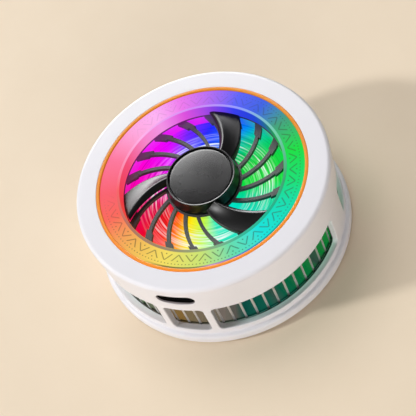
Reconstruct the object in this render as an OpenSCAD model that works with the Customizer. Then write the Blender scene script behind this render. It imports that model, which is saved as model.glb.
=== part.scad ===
// Round phone cooler: a lit fan blows down onto a finned heat sink, a
// thermoelectric plate under it chills a cold plate, and a magnet ring in the
// base holds the whole thing on the back of a phone.
// The origin is the middle of the underside. +Z is up, along the fan's axis,
// and the power socket faces -Y.

/* [Case] */
// Height of the whole cooler, from the pad's underside to the top rim
case_h = 26.4; // [25.5:0.1:32]
// Outer radius of the top cover just under its rounded edge
cover_r = 33.4; // [32.5:0.1:38]
// How far the skirt leans in between its top and its lower edge
cover_draft = 0.5; // [0:0.1:1.2]
// Radius of the cover's rounded top edge
cover_edge = 1.1; // [0.6:0.1:1.6]
// Thickness of the skirt at its lower edge
skirt_t = 1.1; // [1:0.1:1.8]
// Height of the skirt, from the top rim down to the seam
skirt_h = 10.3; // [9.5:0.1:13]
// Thickness of the vented wall between seam and flange
vent_wall_t = 1.75; // [1.5:0.05:2.6]
// How far the foot flange stands out past the vented wall
flange_out = 1.25; // [0.6:0.05:2.5]
// Height of the flange's upper face above the table
flange_h = 3.3; // [2.6:0.1:4]
// Height of the flange's lower face above the table
flange_lift = 0.4; // [0.2:0.1:0.8]
// Rounding of the flange's edges
flange_round = 0.8; // [0.3:0.1:1]

/* [Vent windows] */
// Height of the window sills above the table
sill_h = 5.1; // [4.2:0.1:6]
// Width of each long window, as an angle
long_window_deg = 70; // [50:1:72]
// Width of the two short windows, as an angle
short_window_deg = 18.5; // [12:0.5:22]
// Width of the posts between short and long windows, as an angle
post_deg = 3.4; // [2.5:0.1:6]
// Corner radius of the windows
window_corner = 1.3; // [0.5:0.1:2.5]
// Height of the wall left between the windows and the seam
window_head = 0.3; // [0.2:0.1:2]

/* [Light ring] */
// Width of the cover's flat rim, from its outer edge to the accent ring
rim_w = 5.6; // [4.4:0.05:6.2]
// Width of the coloured accent ring
accent_w = 0.95; // [0.6:0.05:1.4]
// Width of the glowing ring, from the accent ring to the bore
band_w = 5.4; // [4.6:0.05:5.8]
// How much narrower the bore is at its lower edge
bore_taper = 0; // [0:0.1:0.6]
// Depth of the bore, from the top rim to the fan frame
bore_depth = 3.5; // [3.3:0.1:4]
// How far the glowing ring lies below the top rim
ring_drop = 0.3; // [0.1:0.05:0.6]
// Thickness of the glowing ring's flat part
ring_t = 1.3; // [1:0.1:1.6]
// Width of the raised lip round the bore
lip_w = 0.85; // [0.3:0.05:1.2]
// Height of the raised lip
lip_h = 0.2; // [0.1:0.05:0.3]

/* [Fan] */
// Radius of the hub at its top
hub_r = 8.95; // [8.4:0.05:9.6]
// How much wider the hub is at its foot
hub_flare = 0.5; // [0.3:0.05:0.9]
// Thickness of the hub's top rim
hub_rim_t = 0.4; // [0.3:0.05:0.6]
// Width of the groove between the rim and the cap
cap_groove = 0.3; // [0.15:0.05:0.5]
// Thickness of the hub cap
cap_t = 0.8; // [0.7:0.1:0.9]
// Number of blades
blade_n = 3; // [2:1:5]
// Direction of the first blade's low edge where it leaves the hub
blade_az = 47.5; // [0:0.5:119]
// Angle that a blade fills at the hub
blade_root_deg = 27.5; // [14:0.5:30]
// Angle that a blade fills at its tip
blade_tip_deg = 23; // [14:0.5:30]
// Thickness of a blade at its two edges
blade_t = 0.6; // [0.5:0.05:0.9]
// Height of the blades' low edge above the hub's foot
blade_seat = 0.5; // [0:0.1:0.6]
// Place of a blade's crest across its width at the hub, from its low edge
blade_root_crest = 0.68; // [0.5:0.02:0.9]
// Place of a blade's crest across its width at its tip, from its low edge
blade_tip_crest = 0.86; // [0.5:0.02:0.9]
// Height of a blade's crest above its low edge, at the hub
blade_root_rise = 2; // [1:0.1:2.1]
// Height of a blade's crest above its low edge, at its tip
blade_tip_rise = 0.7; // [0.4:0.1:1.4]
// Rise of a blade's underside up to its leading edge, at the hub
blade_root_lift = 0.6; // [0.2:0.1:1]
// Rise of a blade's underside up to its leading edge, at its tip
blade_tip_lift = 0.4; // [0.1:0.1:0.6]
// Gap between the blade tips and the bore
tip_gap = 0.4; // [0.3:0.05:1]
// Gap between the spinning parts and the still ones
run_gap = 0.3; // [0.25:0.05:0.4]
// Number of spokes in the fan frame
spoke_n = 18; // [12:1:20]
// Direction of the first spoke at the hub
spoke_az = 213.5; // [0:0.5:360]
// Turn of spokes and blades for each millimetre outward, in degrees
sweep_rate = 2.3; // [1:0.1:2.6]
// Width of a spoke
spoke_w = 0.9; // [0.6:0.05:1.2]
// Width of the pad at a spoke's outer end
spoke_pad_w = 1.8; // [1.2:0.05:2.2]
// Length of the pad at a spoke's outer end
spoke_pad_len = 3.2; // [1.5:0.1:4]
// Thickness of the spokes
spoke_t = 1; // [0.7:0.1:1.4]

/* [Motor] */
// Radius of the shaft
shaft_r = 1; // [0.75:0.05:1.1]
// Clearance between shaft and bearing
shaft_clear = 0.03; // [0.02:0.01:0.08]
// Outer radius of the sleeve bearing
bearing_r = 2; // [1.7:0.05:2.3]
// Wall of the tube that holds the bearing
tube_wall = 0.9; // [0.6:0.05:1.1]
// Thickness of the steel yoke
yoke_t = 0.4; // [0.3:0.05:0.5]
// Radial thickness of the ring magnet
rotor_magnet_t = 1; // [0.7:0.05:1.2]
// Number of stator teeth
tooth_n = 6; // [3:3:9]
// Width of a stator tooth
tooth_w = 1.2; // [0.9:0.1:1.4]
// Height of the stator stack
stack_h = 1.2; // [0.8:0.1:1.3]
// Thickness of a coil's winding
coil_t = 0.35; // [0.25:0.05:0.4]
// Depth of the motor dish below the spokes' upper face
dish_depth = 1.1; // [1:0.1:1.5]
// Thickness of the motor dish
dish_t = 0.5; // [0.4:0.05:0.7]
// How much narrower the motor dish is at its floor
dish_cone = 1; // [0.6:0.1:1.2]
// Thickness of the motor's circuit board
motor_board_t = 0.6; // [0.4:0.1:0.7]

/* [Electronics] */
// Thickness of the ring circuit board
board_t = 1; // [0.8:0.1:1.2]
// Height of the socket's middle below the top rim
socket_drop = 5.1; // [5:0.1:5.6]
// Number of lights on the board
led_n = 12; // [8:4:20]
// Side of a light's square body
led_side = 2; // [1.6:0.1:2.2]
// Height of a light's body
led_h = 0.9; // [0.6:0.1:1.2]
// Width of the power socket's shell
socket_w = 8.94; // [8.6:0.02:9.4]
// Height of the power socket's shell
socket_h = 3.26; // [3:0.02:3.4]
// Length of the power socket
socket_len = 6.5; // [5.8:0.1:6.8]
// Wall of the socket's shell
socket_wall = 0.3; // [0.2:0.05:0.4]
// Gap between the shell's sides and the slot in the cover
slot_side_gap = 0.55; // [0.2:0.05:0.9]
// Gap between the shell's top and bottom and the slot
slot_gap = 0.3; // [0.1:0.02:0.4]
// How far the socket's mouth lies behind the cover's face
socket_recess = 1.4; // [0.8:0.1:1.8]
// Shank radius of the four frame screws
frame_screw_r = 0.65; // [0.5:0.05:0.8]

/* [Cooling stack] */
// Number of heat sink fins
fin_n = 64; // [36:4:72]
// Thickness of a fin
fin_t = 0.6; // [0.4:0.05:0.8]
// Gap between the fins and the vented wall
fin_gap = 0.3; // [0.2:0.1:1.5]
// Thickness of the heat sink's base plate
sink_base_t = 1.1; // [0.9:0.1:1.4]
// Thickness of the lit disc over the fins
disc_t = 1.4; // [1:0.1:2]
// Air gap between the motor dish and the lit disc
disc_gap = 3.4; // [2.6:0.1:4.4]
// How far the lit disc reaches past the bore
disc_over = 2.7; // [1.5:0.1:3.2]
// Spacing of the rings moulded into the lit disc
disc_groove_step = 1.6; // [1.2:0.1:3]
// Depth of the rings moulded into the lit disc
disc_groove_h = 0.2; // [0.1:0.05:0.4]
// Side of the square thermoelectric plate
tec_side = 20; // [16:0.5:21]
// Thickness of each ceramic plate
tec_ceramic_t = 0.4; // [0.3:0.05:0.6]
// Height of the pellets between the ceramic plates
tec_pellet_h = 0.8; // [0.6:0.1:1.2]
// Pellets along one side of the plate
tec_pellet_n = 6; // [4:1:8]
// Radius of the cold plate that touches the phone
cold_r = 17; // [16.5:0.1:18]
// Rim that keeps the cold plate in the base
cold_rim = 1.4; // [0.8:0.1:1.8]
// Thickness of the cold plate's rim
cold_rim_t = 0.4; // [0.3:0.05:0.6]
// How far the cold plate's face lies above the pad's face
cold_recess = 0.15; // [0.05:0.05:0.3]
// Shank radius of the four clamp screws
clamp_screw_r = 0.8; // [0.6:0.05:1]

/* [Base] */
// Thickness of the soft pad
pad_t = 0.5; // [0.45:0.05:0.8]
// Thickness of the base cover
base_t = 1; // [0.8:0.1:1.3]
// Gap between the magnet ring and the housing around it
magnet_seat_gap = 1.4; // [0.4:0.1:2]
// Width of the magnet ring
magnet_w = 4.2; // [3:0.1:4.6]
// Thickness of the magnets
magnet_t = 1.5; // [1:0.05:1.6]
// Number of magnet segments
magnet_n = 16; // [8:2:20]
// Thickness of the steel ring over the magnets
shunt_t = 0.3; // [0.2:0.05:0.35]
// Shank radius of the four base screws
base_screw_r = 0.6; // [0.4:0.05:0.7]

/* [Hidden] */
$fn = 96;

// A little extra that lets a cut run clear through
eps = 0.01;
// Clearance of pieces that are pushed into each other
slip = 0.1;
// How far a screw's hole is wider than its shank
screw_play = 0.05;
// Angle between the four screws of each kind
quarter = 90;

// Levels of the fan, counted down from the top rim
z_ring_top = case_h - ring_drop;
z_shelf = z_ring_top - ring_t;
z_bore = case_h - bore_depth;
spoke_drop = 0.1;
z_spoke = z_bore - spoke_drop;
z_run = z_spoke + run_gap;
z_blade = z_run + blade_seat;
z_cap = case_h - cap_t;
web_t = 0.5;
z_web = z_cap - web_t;
z_seam = case_h - skirt_h;
z_window = z_seam - window_head;

// Radii of the case
skirt_low_r = cover_r - cover_draft;
cover_in_r = skirt_low_r - skirt_t;
accent_r = cover_r - rim_w;
ring_r = accent_r - accent_w;
bore_r = ring_r - band_w;
spigot_r = cover_in_r - slip;
spigot_h = 1.7;
spigot_least_t = 0.3;
vent_in_r = min(skirt_low_r - vent_wall_t, spigot_r - spigot_least_t);
flange_r = skirt_low_r + flange_out;
window_over = 1;
ring_seat_w = 1;
shelf_in_r = ring_r - ring_seat_w;
shelf_t = 1.2;

// Ring board, lights and socket
z_socket = case_h - socket_drop;
z_board = z_socket - board_t / 2;
z_board_top = z_board + board_t;
frame_step = 0.15;
frame_ring_r = bore_r - bore_taper - frame_step;
collar_t = 1.1;
frame_ring_out = bore_r + collar_t;
frame_flange_t = 1;
frame_edge_gap = 1.5;
frame_flange_r = cover_in_r - frame_edge_gap;
board_gap = 0.2;
board_in_r = frame_ring_out + board_gap;
board_edge_gap = 1.1;
board_r = cover_in_r - board_edge_gap;
led_inset = 0.2;
led_r = board_in_r + led_inset + led_side / 2;
led_turn = 180 / led_n;
frame_screw_at = (led_r + led_side / 2 + board_r) / 2;
boss_r = 1.5;
screw_head_h = 0.8;
screw_head_over = 0.75;
boss_roof_t = 0.4;
boss_hole_top = z_shelf - boss_roof_t;
socket_y = cover_r - socket_recess;
socket_back = socket_y - socket_len;
board_notch_gap = 0.05;
frame_notch_gap = 0.3;
chip_side = 3;
chip_h = 0.8;
small_part_l = 1.6;
small_part_w = 0.8;
small_part_h = 0.7;
tongue_w = 6.7;
tongue_t = 0.7;
tongue_back = 1.6;
tongue_tip = 0.9;

// Motor
dish_lip = 0.55;
dish_rim_h = 0.4;
dish_r = hub_r + hub_flare + dish_lip;
dish_floor_r = dish_r - dish_cone;
z_dish = z_spoke - dish_depth;
z_dish_low = z_dish - dish_t;
tube_r = bearing_r + tube_wall;
seat_w = 0.6;
seat_r = tube_r + seat_w;
z_motor_board = z_dish + motor_board_t;
yoke_inset = 0.1;
yoke_r = hub_r - hub_rim_t - yoke_inset;
z_yoke = z_motor_board + run_gap;
magnet_gap = 0.3;
magnet_inset = 0.2;
rotor_magnet_in = yoke_r - yoke_t - rotor_magnet_t;
stack_r = rotor_magnet_in - magnet_gap;
coil_rise = 0.1;
z_stack = z_motor_board + coil_t + coil_rise;
z_stack_top = z_stack + stack_h;
tube_over = 0.1;
z_tube_top = z_stack_top + tube_over;
bearing_over = 0.1;
z_bearing_top = z_tube_top + bearing_over;
thrust_t = 0.3;
thrust_gap = 0.05;
shoe_t = 0.7;
stack_back_t = 0.8;
coil_gap = 0.3;
cap_r = hub_r - hub_rim_t - cap_groove;

// Blades run from inside the hub's wall to just short of the bore
blade_root_in = 0.2;
blade_in_r = hub_r - blade_root_in;
blade_out_r = bore_r - bore_taper - tip_gap;
blade_rows = 12;
face_steps = 5;
nose_steps = 4;

// Spokes run from the dish to the frame's ring
spoke_in_r = dish_r - 0.9 * dish_t;
spoke_end_in = 0.5;
spoke_out_r = frame_ring_r + spoke_end_in;

// Levels of the cooling stack, counted up from the table
z_base = pad_t;
z_base_top = z_base + base_t;
z_cold_top = z_base_top + cold_rim_t;
z_pellet = z_cold_top + tec_ceramic_t;
z_hot = z_pellet + tec_pellet_h;
z_sink = z_hot + tec_ceramic_t;
z_fin = z_sink + sink_base_t;
z_disc = z_dish_low - disc_gap - disc_t;
disc_r = bore_r + disc_over;
fin_r = vent_in_r - fin_gap;
clamp_out = 3.6;
clamp_at = tec_side / 2 + clamp_out;
clamp_head_h = 1;
clamp_head_over = 0.8;
fin_clear = 0.6;
fin_in_r = clamp_at + clamp_screw_r + clamp_head_over + fin_clear;
core_clear = 1.6;
core_r = clamp_at - clamp_screw_r - clamp_head_over - core_clear;
gasket_inset = 0.6;
gasket_r = cold_r - gasket_inset;
sink_shelf_w = 2.45;
shelf_r = vent_in_r - sink_shelf_w;
magnet_r = shelf_r - magnet_seat_gap - magnet_w;
base_seat_w = 1;
base_r = vent_in_r + base_seat_w;
skirt_in_r = base_r + slip;
base_screw_at = (shelf_r + vent_in_r) / 2;
base_head_h = 0.5;
base_head_over = 0.6;
hole_roof_t = 0.3;
pad_in_gap = 1.2;
pad_in_r = cold_r + pad_in_gap;
pad_edge_gap = 0.9;
pad_r = base_r - pad_edge_gap;

// A point at radius r in direction a
function polar(r, a) = [r * cos(a), r * sin(a)];

// Centre of the circle through three points
function arc_centre(p, q, s) =
    let (d = 2 * (p.x * (q.y - s.y) + q.x * (s.y - p.y) + s.x * (p.y - q.y)))
    [
        ((p * p) * (q.y - s.y) + (q * q) * (s.y - p.y) + (s * s) * (p.y - q.y)) / d,
        ((p * p) * (s.x - q.x) + (q * q) * (p.x - s.x) + (s * s) * (q.x - p.x)) / d
    ];

module ring(outer, inner, h, z = 0) {
    translate([0, 0, z])
        linear_extrude(h)
            difference() {
                circle(outer);
                circle(inner);
            }
}

module around(n, turn = 0) {
    for (i = [0:n - 1])
        rotate(turn + i * 360 / n)
            children();
}

// Upright screw: a shank that grows from a flat head
module screw(shank_r, shank_len, head_r, head_h) {
    cylinder(r = head_r, h = head_h);
    translate([0, 0, head_h - eps])
        cylinder(r = shank_r, h = shank_len + eps);
}

// Rounded bar seen from its end, w wide and h high
module stadium(w, h) {
    square([w - h, h], center = true);
    for (side = [-1, 1])
        translate([side * (w - h) / 2, 0])
            circle(h / 2);
}

// A wedge that fills the angle from a to b, for angles under 180 degrees
module wedge(a, b, r) {
    reach = r / cos((b - a) / 4);
    polygon([[0, 0], polar(reach, a), polar(reach, (a + b) / 2), polar(reach, b)]);
}

// Top cover: white moulding with a rounded edge, a shelf for the two rings,
// four screw bosses and the slot for the power socket
module top_cover() {
    color("whitesmoke")
        difference() {
            union() {
                rotate_extrude()
                    cover_profile();
                around(4, quarter / 2)
                    translate([frame_screw_at, 0, z_board_top])
                        cylinder(r = boss_r, h = z_shelf - z_board_top);
            }
            around(4, quarter / 2)
                translate([frame_screw_at, 0, z_board_top - eps])
                    cylinder(r = frame_screw_r + screw_play, h = boss_hole_top - z_board_top);
            translate([0, -cover_in_r + skirt_t, z_socket])
                rotate([90, 0, 0])
                    linear_extrude(cover_r)
                        stadium(socket_w + 2 * slot_side_gap, socket_h + 2 * slot_gap);
        }
}

module cover_profile() {
    inner_top = z_shelf - shelf_t;
    polygon([
        [cover_in_r, z_seam],
        [skirt_low_r, z_seam],
        [cover_r, case_h - cover_edge],
        [cover_r - cover_edge, case_h - cover_edge],
        [cover_r - cover_edge, case_h],
        [accent_r, case_h],
        [accent_r, z_shelf],
        [shelf_in_r, z_shelf],
        [shelf_in_r, inner_top],
        [cover_in_r - skirt_t, inner_top],
        [cover_in_r, inner_top - skirt_t]
    ]);
    translate([cover_r - cover_edge, case_h - cover_edge])
        intersection() {
            circle(cover_edge);
            square(cover_edge);
        }
}

// Accent ring: thin coloured band let into the cover
module accent_ring() {
    color("darkorange")
        ring(accent_r, ring_r, case_h - z_shelf, z_shelf);
}

// Light ring: milky ring with a raised lip, whose bore wall guides the light
// down to the fan
module light_ring() {
    low_r = bore_r - bore_taper;
    color("violet")
        rotate_extrude()
            polygon([
                [low_r, z_bore],
                [frame_ring_out, z_bore],
                [frame_ring_out, z_shelf],
                [ring_r, z_shelf],
                [ring_r, z_ring_top],
                [bore_r + lip_w, z_ring_top],
                [bore_r + lip_w * 0.7, z_ring_top + lip_h],
                [bore_r + lip_w * 0.2, z_ring_top + lip_h],
                [bore_r, z_ring_top]
            ]);
}

// Ring circuit board: carries the lights and, in a notch, the power socket
module led_board() {
    color("darkgreen")
        translate([0, 0, z_board])
            linear_extrude(board_t)
                difference() {
                    circle(board_r);
                    circle(board_in_r);
                    socket_notch(board_notch_gap);
                    around(4, quarter / 2)
                        translate([frame_screw_at, 0])
                            circle(frame_screw_r + 2 * screw_play);
                }
}

module socket_notch(gap) {
    translate([-socket_w / 2 - gap, -cover_r])
        square([socket_w + 2 * gap, cover_r - socket_back + gap]);
}

// Lights: square packages on the upper face of the ring board
module rgb_leds() {
    color("ivory")
        around(led_n, led_turn)
            translate([led_r - led_side / 2, -led_side / 2, z_board_top])
                cube([led_side, led_side, led_h]);
}

// Driver chips: power controller and two small parts beside it
module board_chips() {
    chip_at = (led_r + led_side / 2 + board_r) / 2;
    small_turn = 10;
    color("dimgray") {
        rotate(quarter)
            translate([chip_at - chip_side / 2, -chip_side / 2, z_board_top])
                cube([chip_side, chip_side, chip_h]);
        for (side = [-1, 1])
            rotate(quarter + side * small_turn)
                translate([chip_at - small_part_l / 2, -small_part_w / 2, z_board_top])
                    cube([small_part_l, small_part_w, small_part_h]);
    }
}

// Power socket shell: drawn steel sleeve with rounded sides
module usb_shell() {
    color("silver")
        translate([0, -socket_back, z_socket])
            rotate([90, 0, 0])
                linear_extrude(socket_len)
                    difference() {
                        stadium(socket_w, socket_h);
                        stadium(socket_w - 2 * socket_wall, socket_h - 2 * socket_wall);
                    }
}

// Power socket core: black block that closes the sleeve's back, with the
// contact tongue standing in the mouth
module usb_tongue() {
    color("black")
        translate([0, -socket_back, z_socket])
            rotate([90, 0, 0]) {
                linear_extrude(tongue_back)
                    stadium(socket_w - 2 * socket_wall, socket_h - 2 * socket_wall);
                translate([-tongue_w / 2, -tongue_t / 2, tongue_back - eps])
                    cube([tongue_w, tongue_t, socket_len - tongue_back - tongue_tip]);
            }
}

// Fan frame: black moulding whose curved spokes carry the motor dish
module fan_frame() {
    z_flange = z_board - frame_flange_t;
    color("dimgray")
        difference() {
            union() {
                ring(frame_ring_out, frame_ring_r, z_bore - z_flange, z_flange);
                ring(frame_flange_r, frame_ring_r, frame_flange_t, z_flange);
                translate([0, 0, z_spoke - spoke_t])
                    linear_extrude(spoke_t)
                        around(spoke_n, spoke_az)
                            spoke_outline();
                motor_dish();
                ring(tube_r, bearing_r, z_tube_top - z_dish_low, z_dish_low);
                ring(seat_r, bearing_r, z_stack - z_dish_low, z_dish_low);
            }
            translate([0, 0, z_flange - eps])
                linear_extrude(frame_flange_t + 2 * eps) {
                    difference() {
                        socket_notch(frame_notch_gap);
                        circle(frame_ring_out);
                    }
                    around(4, quarter / 2)
                        translate([frame_screw_at, 0])
                            circle(frame_screw_r + 2 * screw_play);
                }
        }
}

// Motor dish: shallow cone with a flat floor, in the middle of the spokes
module motor_dish() {
    rotate_extrude()
        polygon([
            [0, z_dish_low],
            [dish_floor_r, z_dish_low],
            [dish_r, z_spoke - dish_rim_h],
            [dish_r, z_spoke],
            [dish_r - dish_t, z_spoke],
            [dish_floor_r - dish_t, z_dish],
            [0, z_dish]
        ]);
}

// One spoke: an arc that turns as it runs outward, with a wider pad at its end
module spoke_outline() {
    span = sweep_rate * (spoke_out_r - spoke_in_r);
    start = polar(spoke_in_r, 0);
    end = polar(spoke_out_r, span);
    centre = arc_centre(start, polar((spoke_in_r + spoke_out_r) / 2, span / 2), end);
    arc_r = norm(start - centre);
    margin = 12;
    intersection() {
        union() {
            arc_band(centre, arc_r, spoke_w);
            difference() {
                arc_band(centre, arc_r, spoke_pad_w);
                circle(spoke_out_r - spoke_pad_len);
            }
        }
        difference() {
            circle(spoke_out_r);
            circle(spoke_in_r);
        }
        wedge(-margin, span + margin, 2 * spoke_out_r);
    }
}

module arc_band(centre, r, w) {
    translate(centre)
        difference() {
            circle(r + w / 2);
            circle(r - w / 2);
        }
}

// Frame screws: hold the frame and the ring board up against the cover
module frame_screws() {
    z_flange = z_board - frame_flange_t;
    tip_gap_z = 0.3;
    color("slategray")
        around(4, quarter / 2)
            translate([frame_screw_at, 0, z_flange - screw_head_h])
                screw(frame_screw_r, boss_hole_top - z_flange - tip_gap_z,
                    frame_screw_r + screw_head_over, screw_head_h);
}

// Motor board: small ring circuit in the bottom of the dish
module motor_board() {
    color("darkgreen")
        ring(dish_floor_r - dish_t - slip, seat_r + slip, motor_board_t, z_dish);
}

// Stator core: stacked steel star with a broad shoe on each tooth
module stator_core() {
    color("darkgray")
        translate([0, 0, z_stack])
            linear_extrude(stack_h)
                difference() {
                    union() {
                        circle(tube_r + stack_back_t);
                        around(tooth_n)
                            translate([0, -tooth_w / 2])
                                square([stack_r - shoe_t / 2, tooth_w]);
                        intersection() {
                            difference() {
                                circle(stack_r);
                                circle(stack_r - shoe_t);
                            }
                            shoe_half = 0.36 * 360 / tooth_n;
                            around(tooth_n)
                                wedge(-shoe_half, shoe_half, stack_r + 1);
                        }
                    }
                    circle(tube_r);
                }
}

// Stator coils: one copper winding round each tooth
module stator_coils() {
    coil_in = tube_r + stack_back_t + coil_gap;
    coil_out = stack_r - shoe_t - slip;
    color("peru")
        around(tooth_n)
            translate([coil_in, 0, z_stack])
                difference() {
                    translate([0, -tooth_w / 2 - coil_t, -coil_t])
                        cube([coil_out - coil_in, tooth_w + 2 * coil_t, stack_h + 2 * coil_t]);
                    translate([-eps, -tooth_w / 2, 0])
                        cube([coil_out - coil_in + 2 * eps, tooth_w, stack_h]);
                }
}

// Motor bearing: bronze sleeve pushed into the dish's tube
module motor_bearing() {
    z_low = z_dish_low + dish_t + thrust_t;
    color("goldenrod")
        ring(bearing_r, shaft_r + shaft_clear, z_bearing_top - z_low, z_low);
}

// Thrust pad: slippery disc under the shaft's end
module thrust_pad() {
    color("ivory")
        translate([0, 0, z_dish])
            cylinder(r = bearing_r, h = thrust_t);
}

// Impeller: hub cup and swept blades in one black moulding
module impeller() {
    color("#2b2b2d") {
        rotate_extrude()
            polygon([
                [shaft_r, z_web],
                [yoke_r, z_web],
                [yoke_r, z_run],
                [hub_r + hub_flare, z_run],
                [hub_r + hub_flare * 0.9, z_run + cap_t],
                [hub_r, z_cap],
                [hub_r, case_h],
                [hub_r - hub_rim_t, case_h],
                [hub_r - hub_rim_t, z_cap],
                [shaft_r, z_cap]
            ]);
        around(blade_n, blade_az)
            blade();
    }
}

// How far out, and in which direction, a blade is at u along and t across it
function blade_radius(u) = blade_in_r + (blade_out_r - blade_in_r) * u;
function blade_angle(u, t) =
    sweep_rate * (blade_radius(u) - blade_in_r) + t * between(blade_root_deg, blade_tip_deg, u);

function between(at_root, at_tip, u) = at_root + (at_tip - at_root) * u;

// Where its crest is across it, and the places across it that its faces run through
function blade_crest(u) = between(blade_root_crest, blade_tip_crest, u);
function blade_across(u) = [
    for (j = [0:face_steps]) blade_crest(u) * j / face_steps,
    for (j = [1:nose_steps]) blade_crest(u) + (1 - blade_crest(u)) * j / nose_steps
];

// Height of a blade's underside, which lifts evenly to the leading edge
function blade_under(u, t) = z_blade + t * between(blade_root_lift, blade_tip_lift, u);

// Height of its upper face: hollow up to the crest, then rounded down over the
// thick leading edge
function blade_over(u, t) =
    let (rise = between(blade_root_rise, blade_tip_rise, u))
    let (fall = rise - between(blade_root_lift, blade_tip_lift, u))
    let (crest = blade_crest(u))
    let (face = min(1, t / crest))
    let (nose = max(0, t - crest) / (1 - crest))
    z_blade + blade_t + rise * pow(face, 1.5) - fall * pow(nose, 1.4);

function blade_point(u, t, upper) =
    let (flat = polar(blade_radius(u), blade_angle(u, t)))
    [flat.x, flat.y, upper ? blade_over(u, t) : blade_under(u, t)];

// One blade, lofted along its length from sections with a thick leading edge
module blade() {
    cols = face_steps + nose_steps + 1;
    last = cols - 1;
    half = (blade_rows + 1) * cols;
    points = [
        for (side = [true, false])
            for (i = [0:blade_rows])
                for (t = blade_across(i / blade_rows))
                    blade_point(i / blade_rows, t, side)
    ];
    upper = [
        for (i = [0:blade_rows - 1])
            for (j = [0:last - 1])
                let (a = i * cols + j)
                each [[a, a + cols + 1, a + cols], [a, a + 1, a + cols + 1]]
    ];
    lower = [for (f = upper) [f[0] + half, f[2] + half, f[1] + half]];
    root = [for (j = [0:last - 1]) [j, j + half, j + 1 + half, j + 1]];
    tip_at = blade_rows * cols;
    tip = [for (j = [0:last - 1]) [tip_at + j + 1, tip_at + j + 1 + half, tip_at + j + half, tip_at + j]];
    low_edge = [
        for (i = [0:blade_rows - 1])
            let (a = i * cols)
            each [[a, a + cols, a + cols + half], [a, a + cols + half, a + half]]
    ];
    lead_edge = [
        for (i = [0:blade_rows - 1])
            let (a = i * cols + last)
            each [[a, a + half, a + cols + half], [a, a + cols + half, a + cols]]
    ];
    polyhedron(points, concat(upper, lower, root, tip, low_edge, lead_edge));
}

// Hub cap: satin disc set into the hub's rim with a fine groove round it
module hub_cap() {
    color("#3a3a3c")
        translate([0, 0, z_cap])
            cylinder(r = cap_r, h = cap_t);
}

// Rotor yoke: pressed steel cup that closes the motor's magnetic path
module rotor_yoke() {
    color("silver")
        rotate_extrude()
            polygon([
                [shaft_r, z_web - yoke_t],
                [yoke_r - yoke_t, z_web - yoke_t],
                [yoke_r - yoke_t, z_yoke],
                [yoke_r, z_yoke],
                [yoke_r, z_web],
                [shaft_r, z_web]
            ]);
}

// Rotor magnet: black ring inside the yoke
module rotor_magnet() {
    z_low = z_yoke + magnet_inset;
    color("#444444")
        ring(yoke_r - yoke_t, rotor_magnet_in, z_web - yoke_t - z_low, z_low);
}

// Rotor shaft: ground steel pin, fixed in the hub
module rotor_shaft() {
    z_low = z_dish + thrust_t + thrust_gap;
    color("silver")
        translate([0, 0, z_low])
            cylinder(r = shaft_r, h = z_cap - z_low);
}

// Lit disc: clear disc with moulded rings that catch the coloured light
module light_disc() {
    first = 3;
    groove_w = disc_groove_step / 4;
    count = floor((disc_r - first) / disc_groove_step);
    color("deepskyblue")
        difference() {
            translate([0, 0, z_disc])
                cylinder(r = disc_r, h = disc_t);
            for (i = [0:count - 1])
                ring(first + i * disc_groove_step + groove_w, first + i * disc_groove_step,
                    disc_groove_h + eps, z_disc + disc_t - disc_groove_h);
        }
}

// Heat sink: aluminium plate with a solid core over the thermoelectric plate
// and thin radial fins
module heatsink() {
    color("lightgray")
        difference() {
            union() {
                translate([0, 0, z_sink])
                    cylinder(r = fin_r, h = sink_base_t);
                translate([0, 0, z_sink])
                    cylinder(r = core_r, h = z_disc - z_sink);
                translate([0, 0, z_fin - eps])
                    linear_extrude(z_disc - z_fin + eps)
                        around(fin_n, 180 / fin_n)
                            translate([fin_in_r, -fin_t / 2])
                                square([fin_r - fin_in_r, fin_t]);
            }
            around(4)
                translate([clamp_at, 0, z_sink - eps])
                    cylinder(r = clamp_screw_r + screw_play, h = sink_base_t + 2 * eps);
        }
}

// Clamp screws: pull the cold plate up against the heat sink
module clamp_screws() {
    color("slategray")
        around(4)
            translate([clamp_at, 0, z_fin + clamp_head_h])
                mirror([0, 0, 1])
                    screw(clamp_screw_r, z_fin - z_base, clamp_screw_r + clamp_head_over, clamp_head_h);
}

// Hot side: ceramic plate under the heat sink
module tec_hot_plate() {
    color("white")
        ceramic(z_hot);
}

// Cold side: ceramic plate on the cold plate
module tec_cold_plate() {
    color("white")
        ceramic(z_cold_top);
}

module ceramic(z) {
    translate([-tec_side / 2, -tec_side / 2, z])
        cube([tec_side, tec_side, tec_ceramic_t]);
}

// Pellets: blocks of thermoelectric material between the two ceramics
module tec_pellets() {
    pitch = tec_side / tec_pellet_n;
    side = 0.6 * pitch;
    color("dimgray")
        for (i = [0:tec_pellet_n - 1])
            for (j = [0:tec_pellet_n - 1])
                translate([
                    (i + 0.5) * pitch - tec_side / 2 - side / 2,
                    (j + 0.5) * pitch - tec_side / 2 - side / 2,
                    z_pellet
                ])
                    cube([side, side, tec_pellet_h]);
}

// Foam gasket: keeps damp air away from the thermoelectric plate
module foam_gasket() {
    color("#55585c")
        translate([0, 0, z_cold_top])
            linear_extrude(z_sink - z_cold_top)
                difference() {
                    circle(gasket_r);
                    square(tec_side + 2 * slip, center = true);
                    around(4)
                        translate([clamp_at, 0])
                            circle(clamp_screw_r + 2 * screw_play);
                }
}

// Cold plate: polished disc that touches the phone, with a rim that the base
// cover holds
module cold_plate() {
    color("silver")
        difference() {
            union() {
                translate([0, 0, cold_recess])
                    cylinder(r = cold_r, h = z_cold_top - cold_recess);
                translate([0, 0, z_base_top])
                    cylinder(r = cold_r + cold_rim, h = cold_rim_t);
            }
            around(4)
                translate([clamp_at, 0, z_base - screw_play])
                    cylinder(r = clamp_screw_r + screw_play, h = z_cold_top);
        }
}

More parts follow.
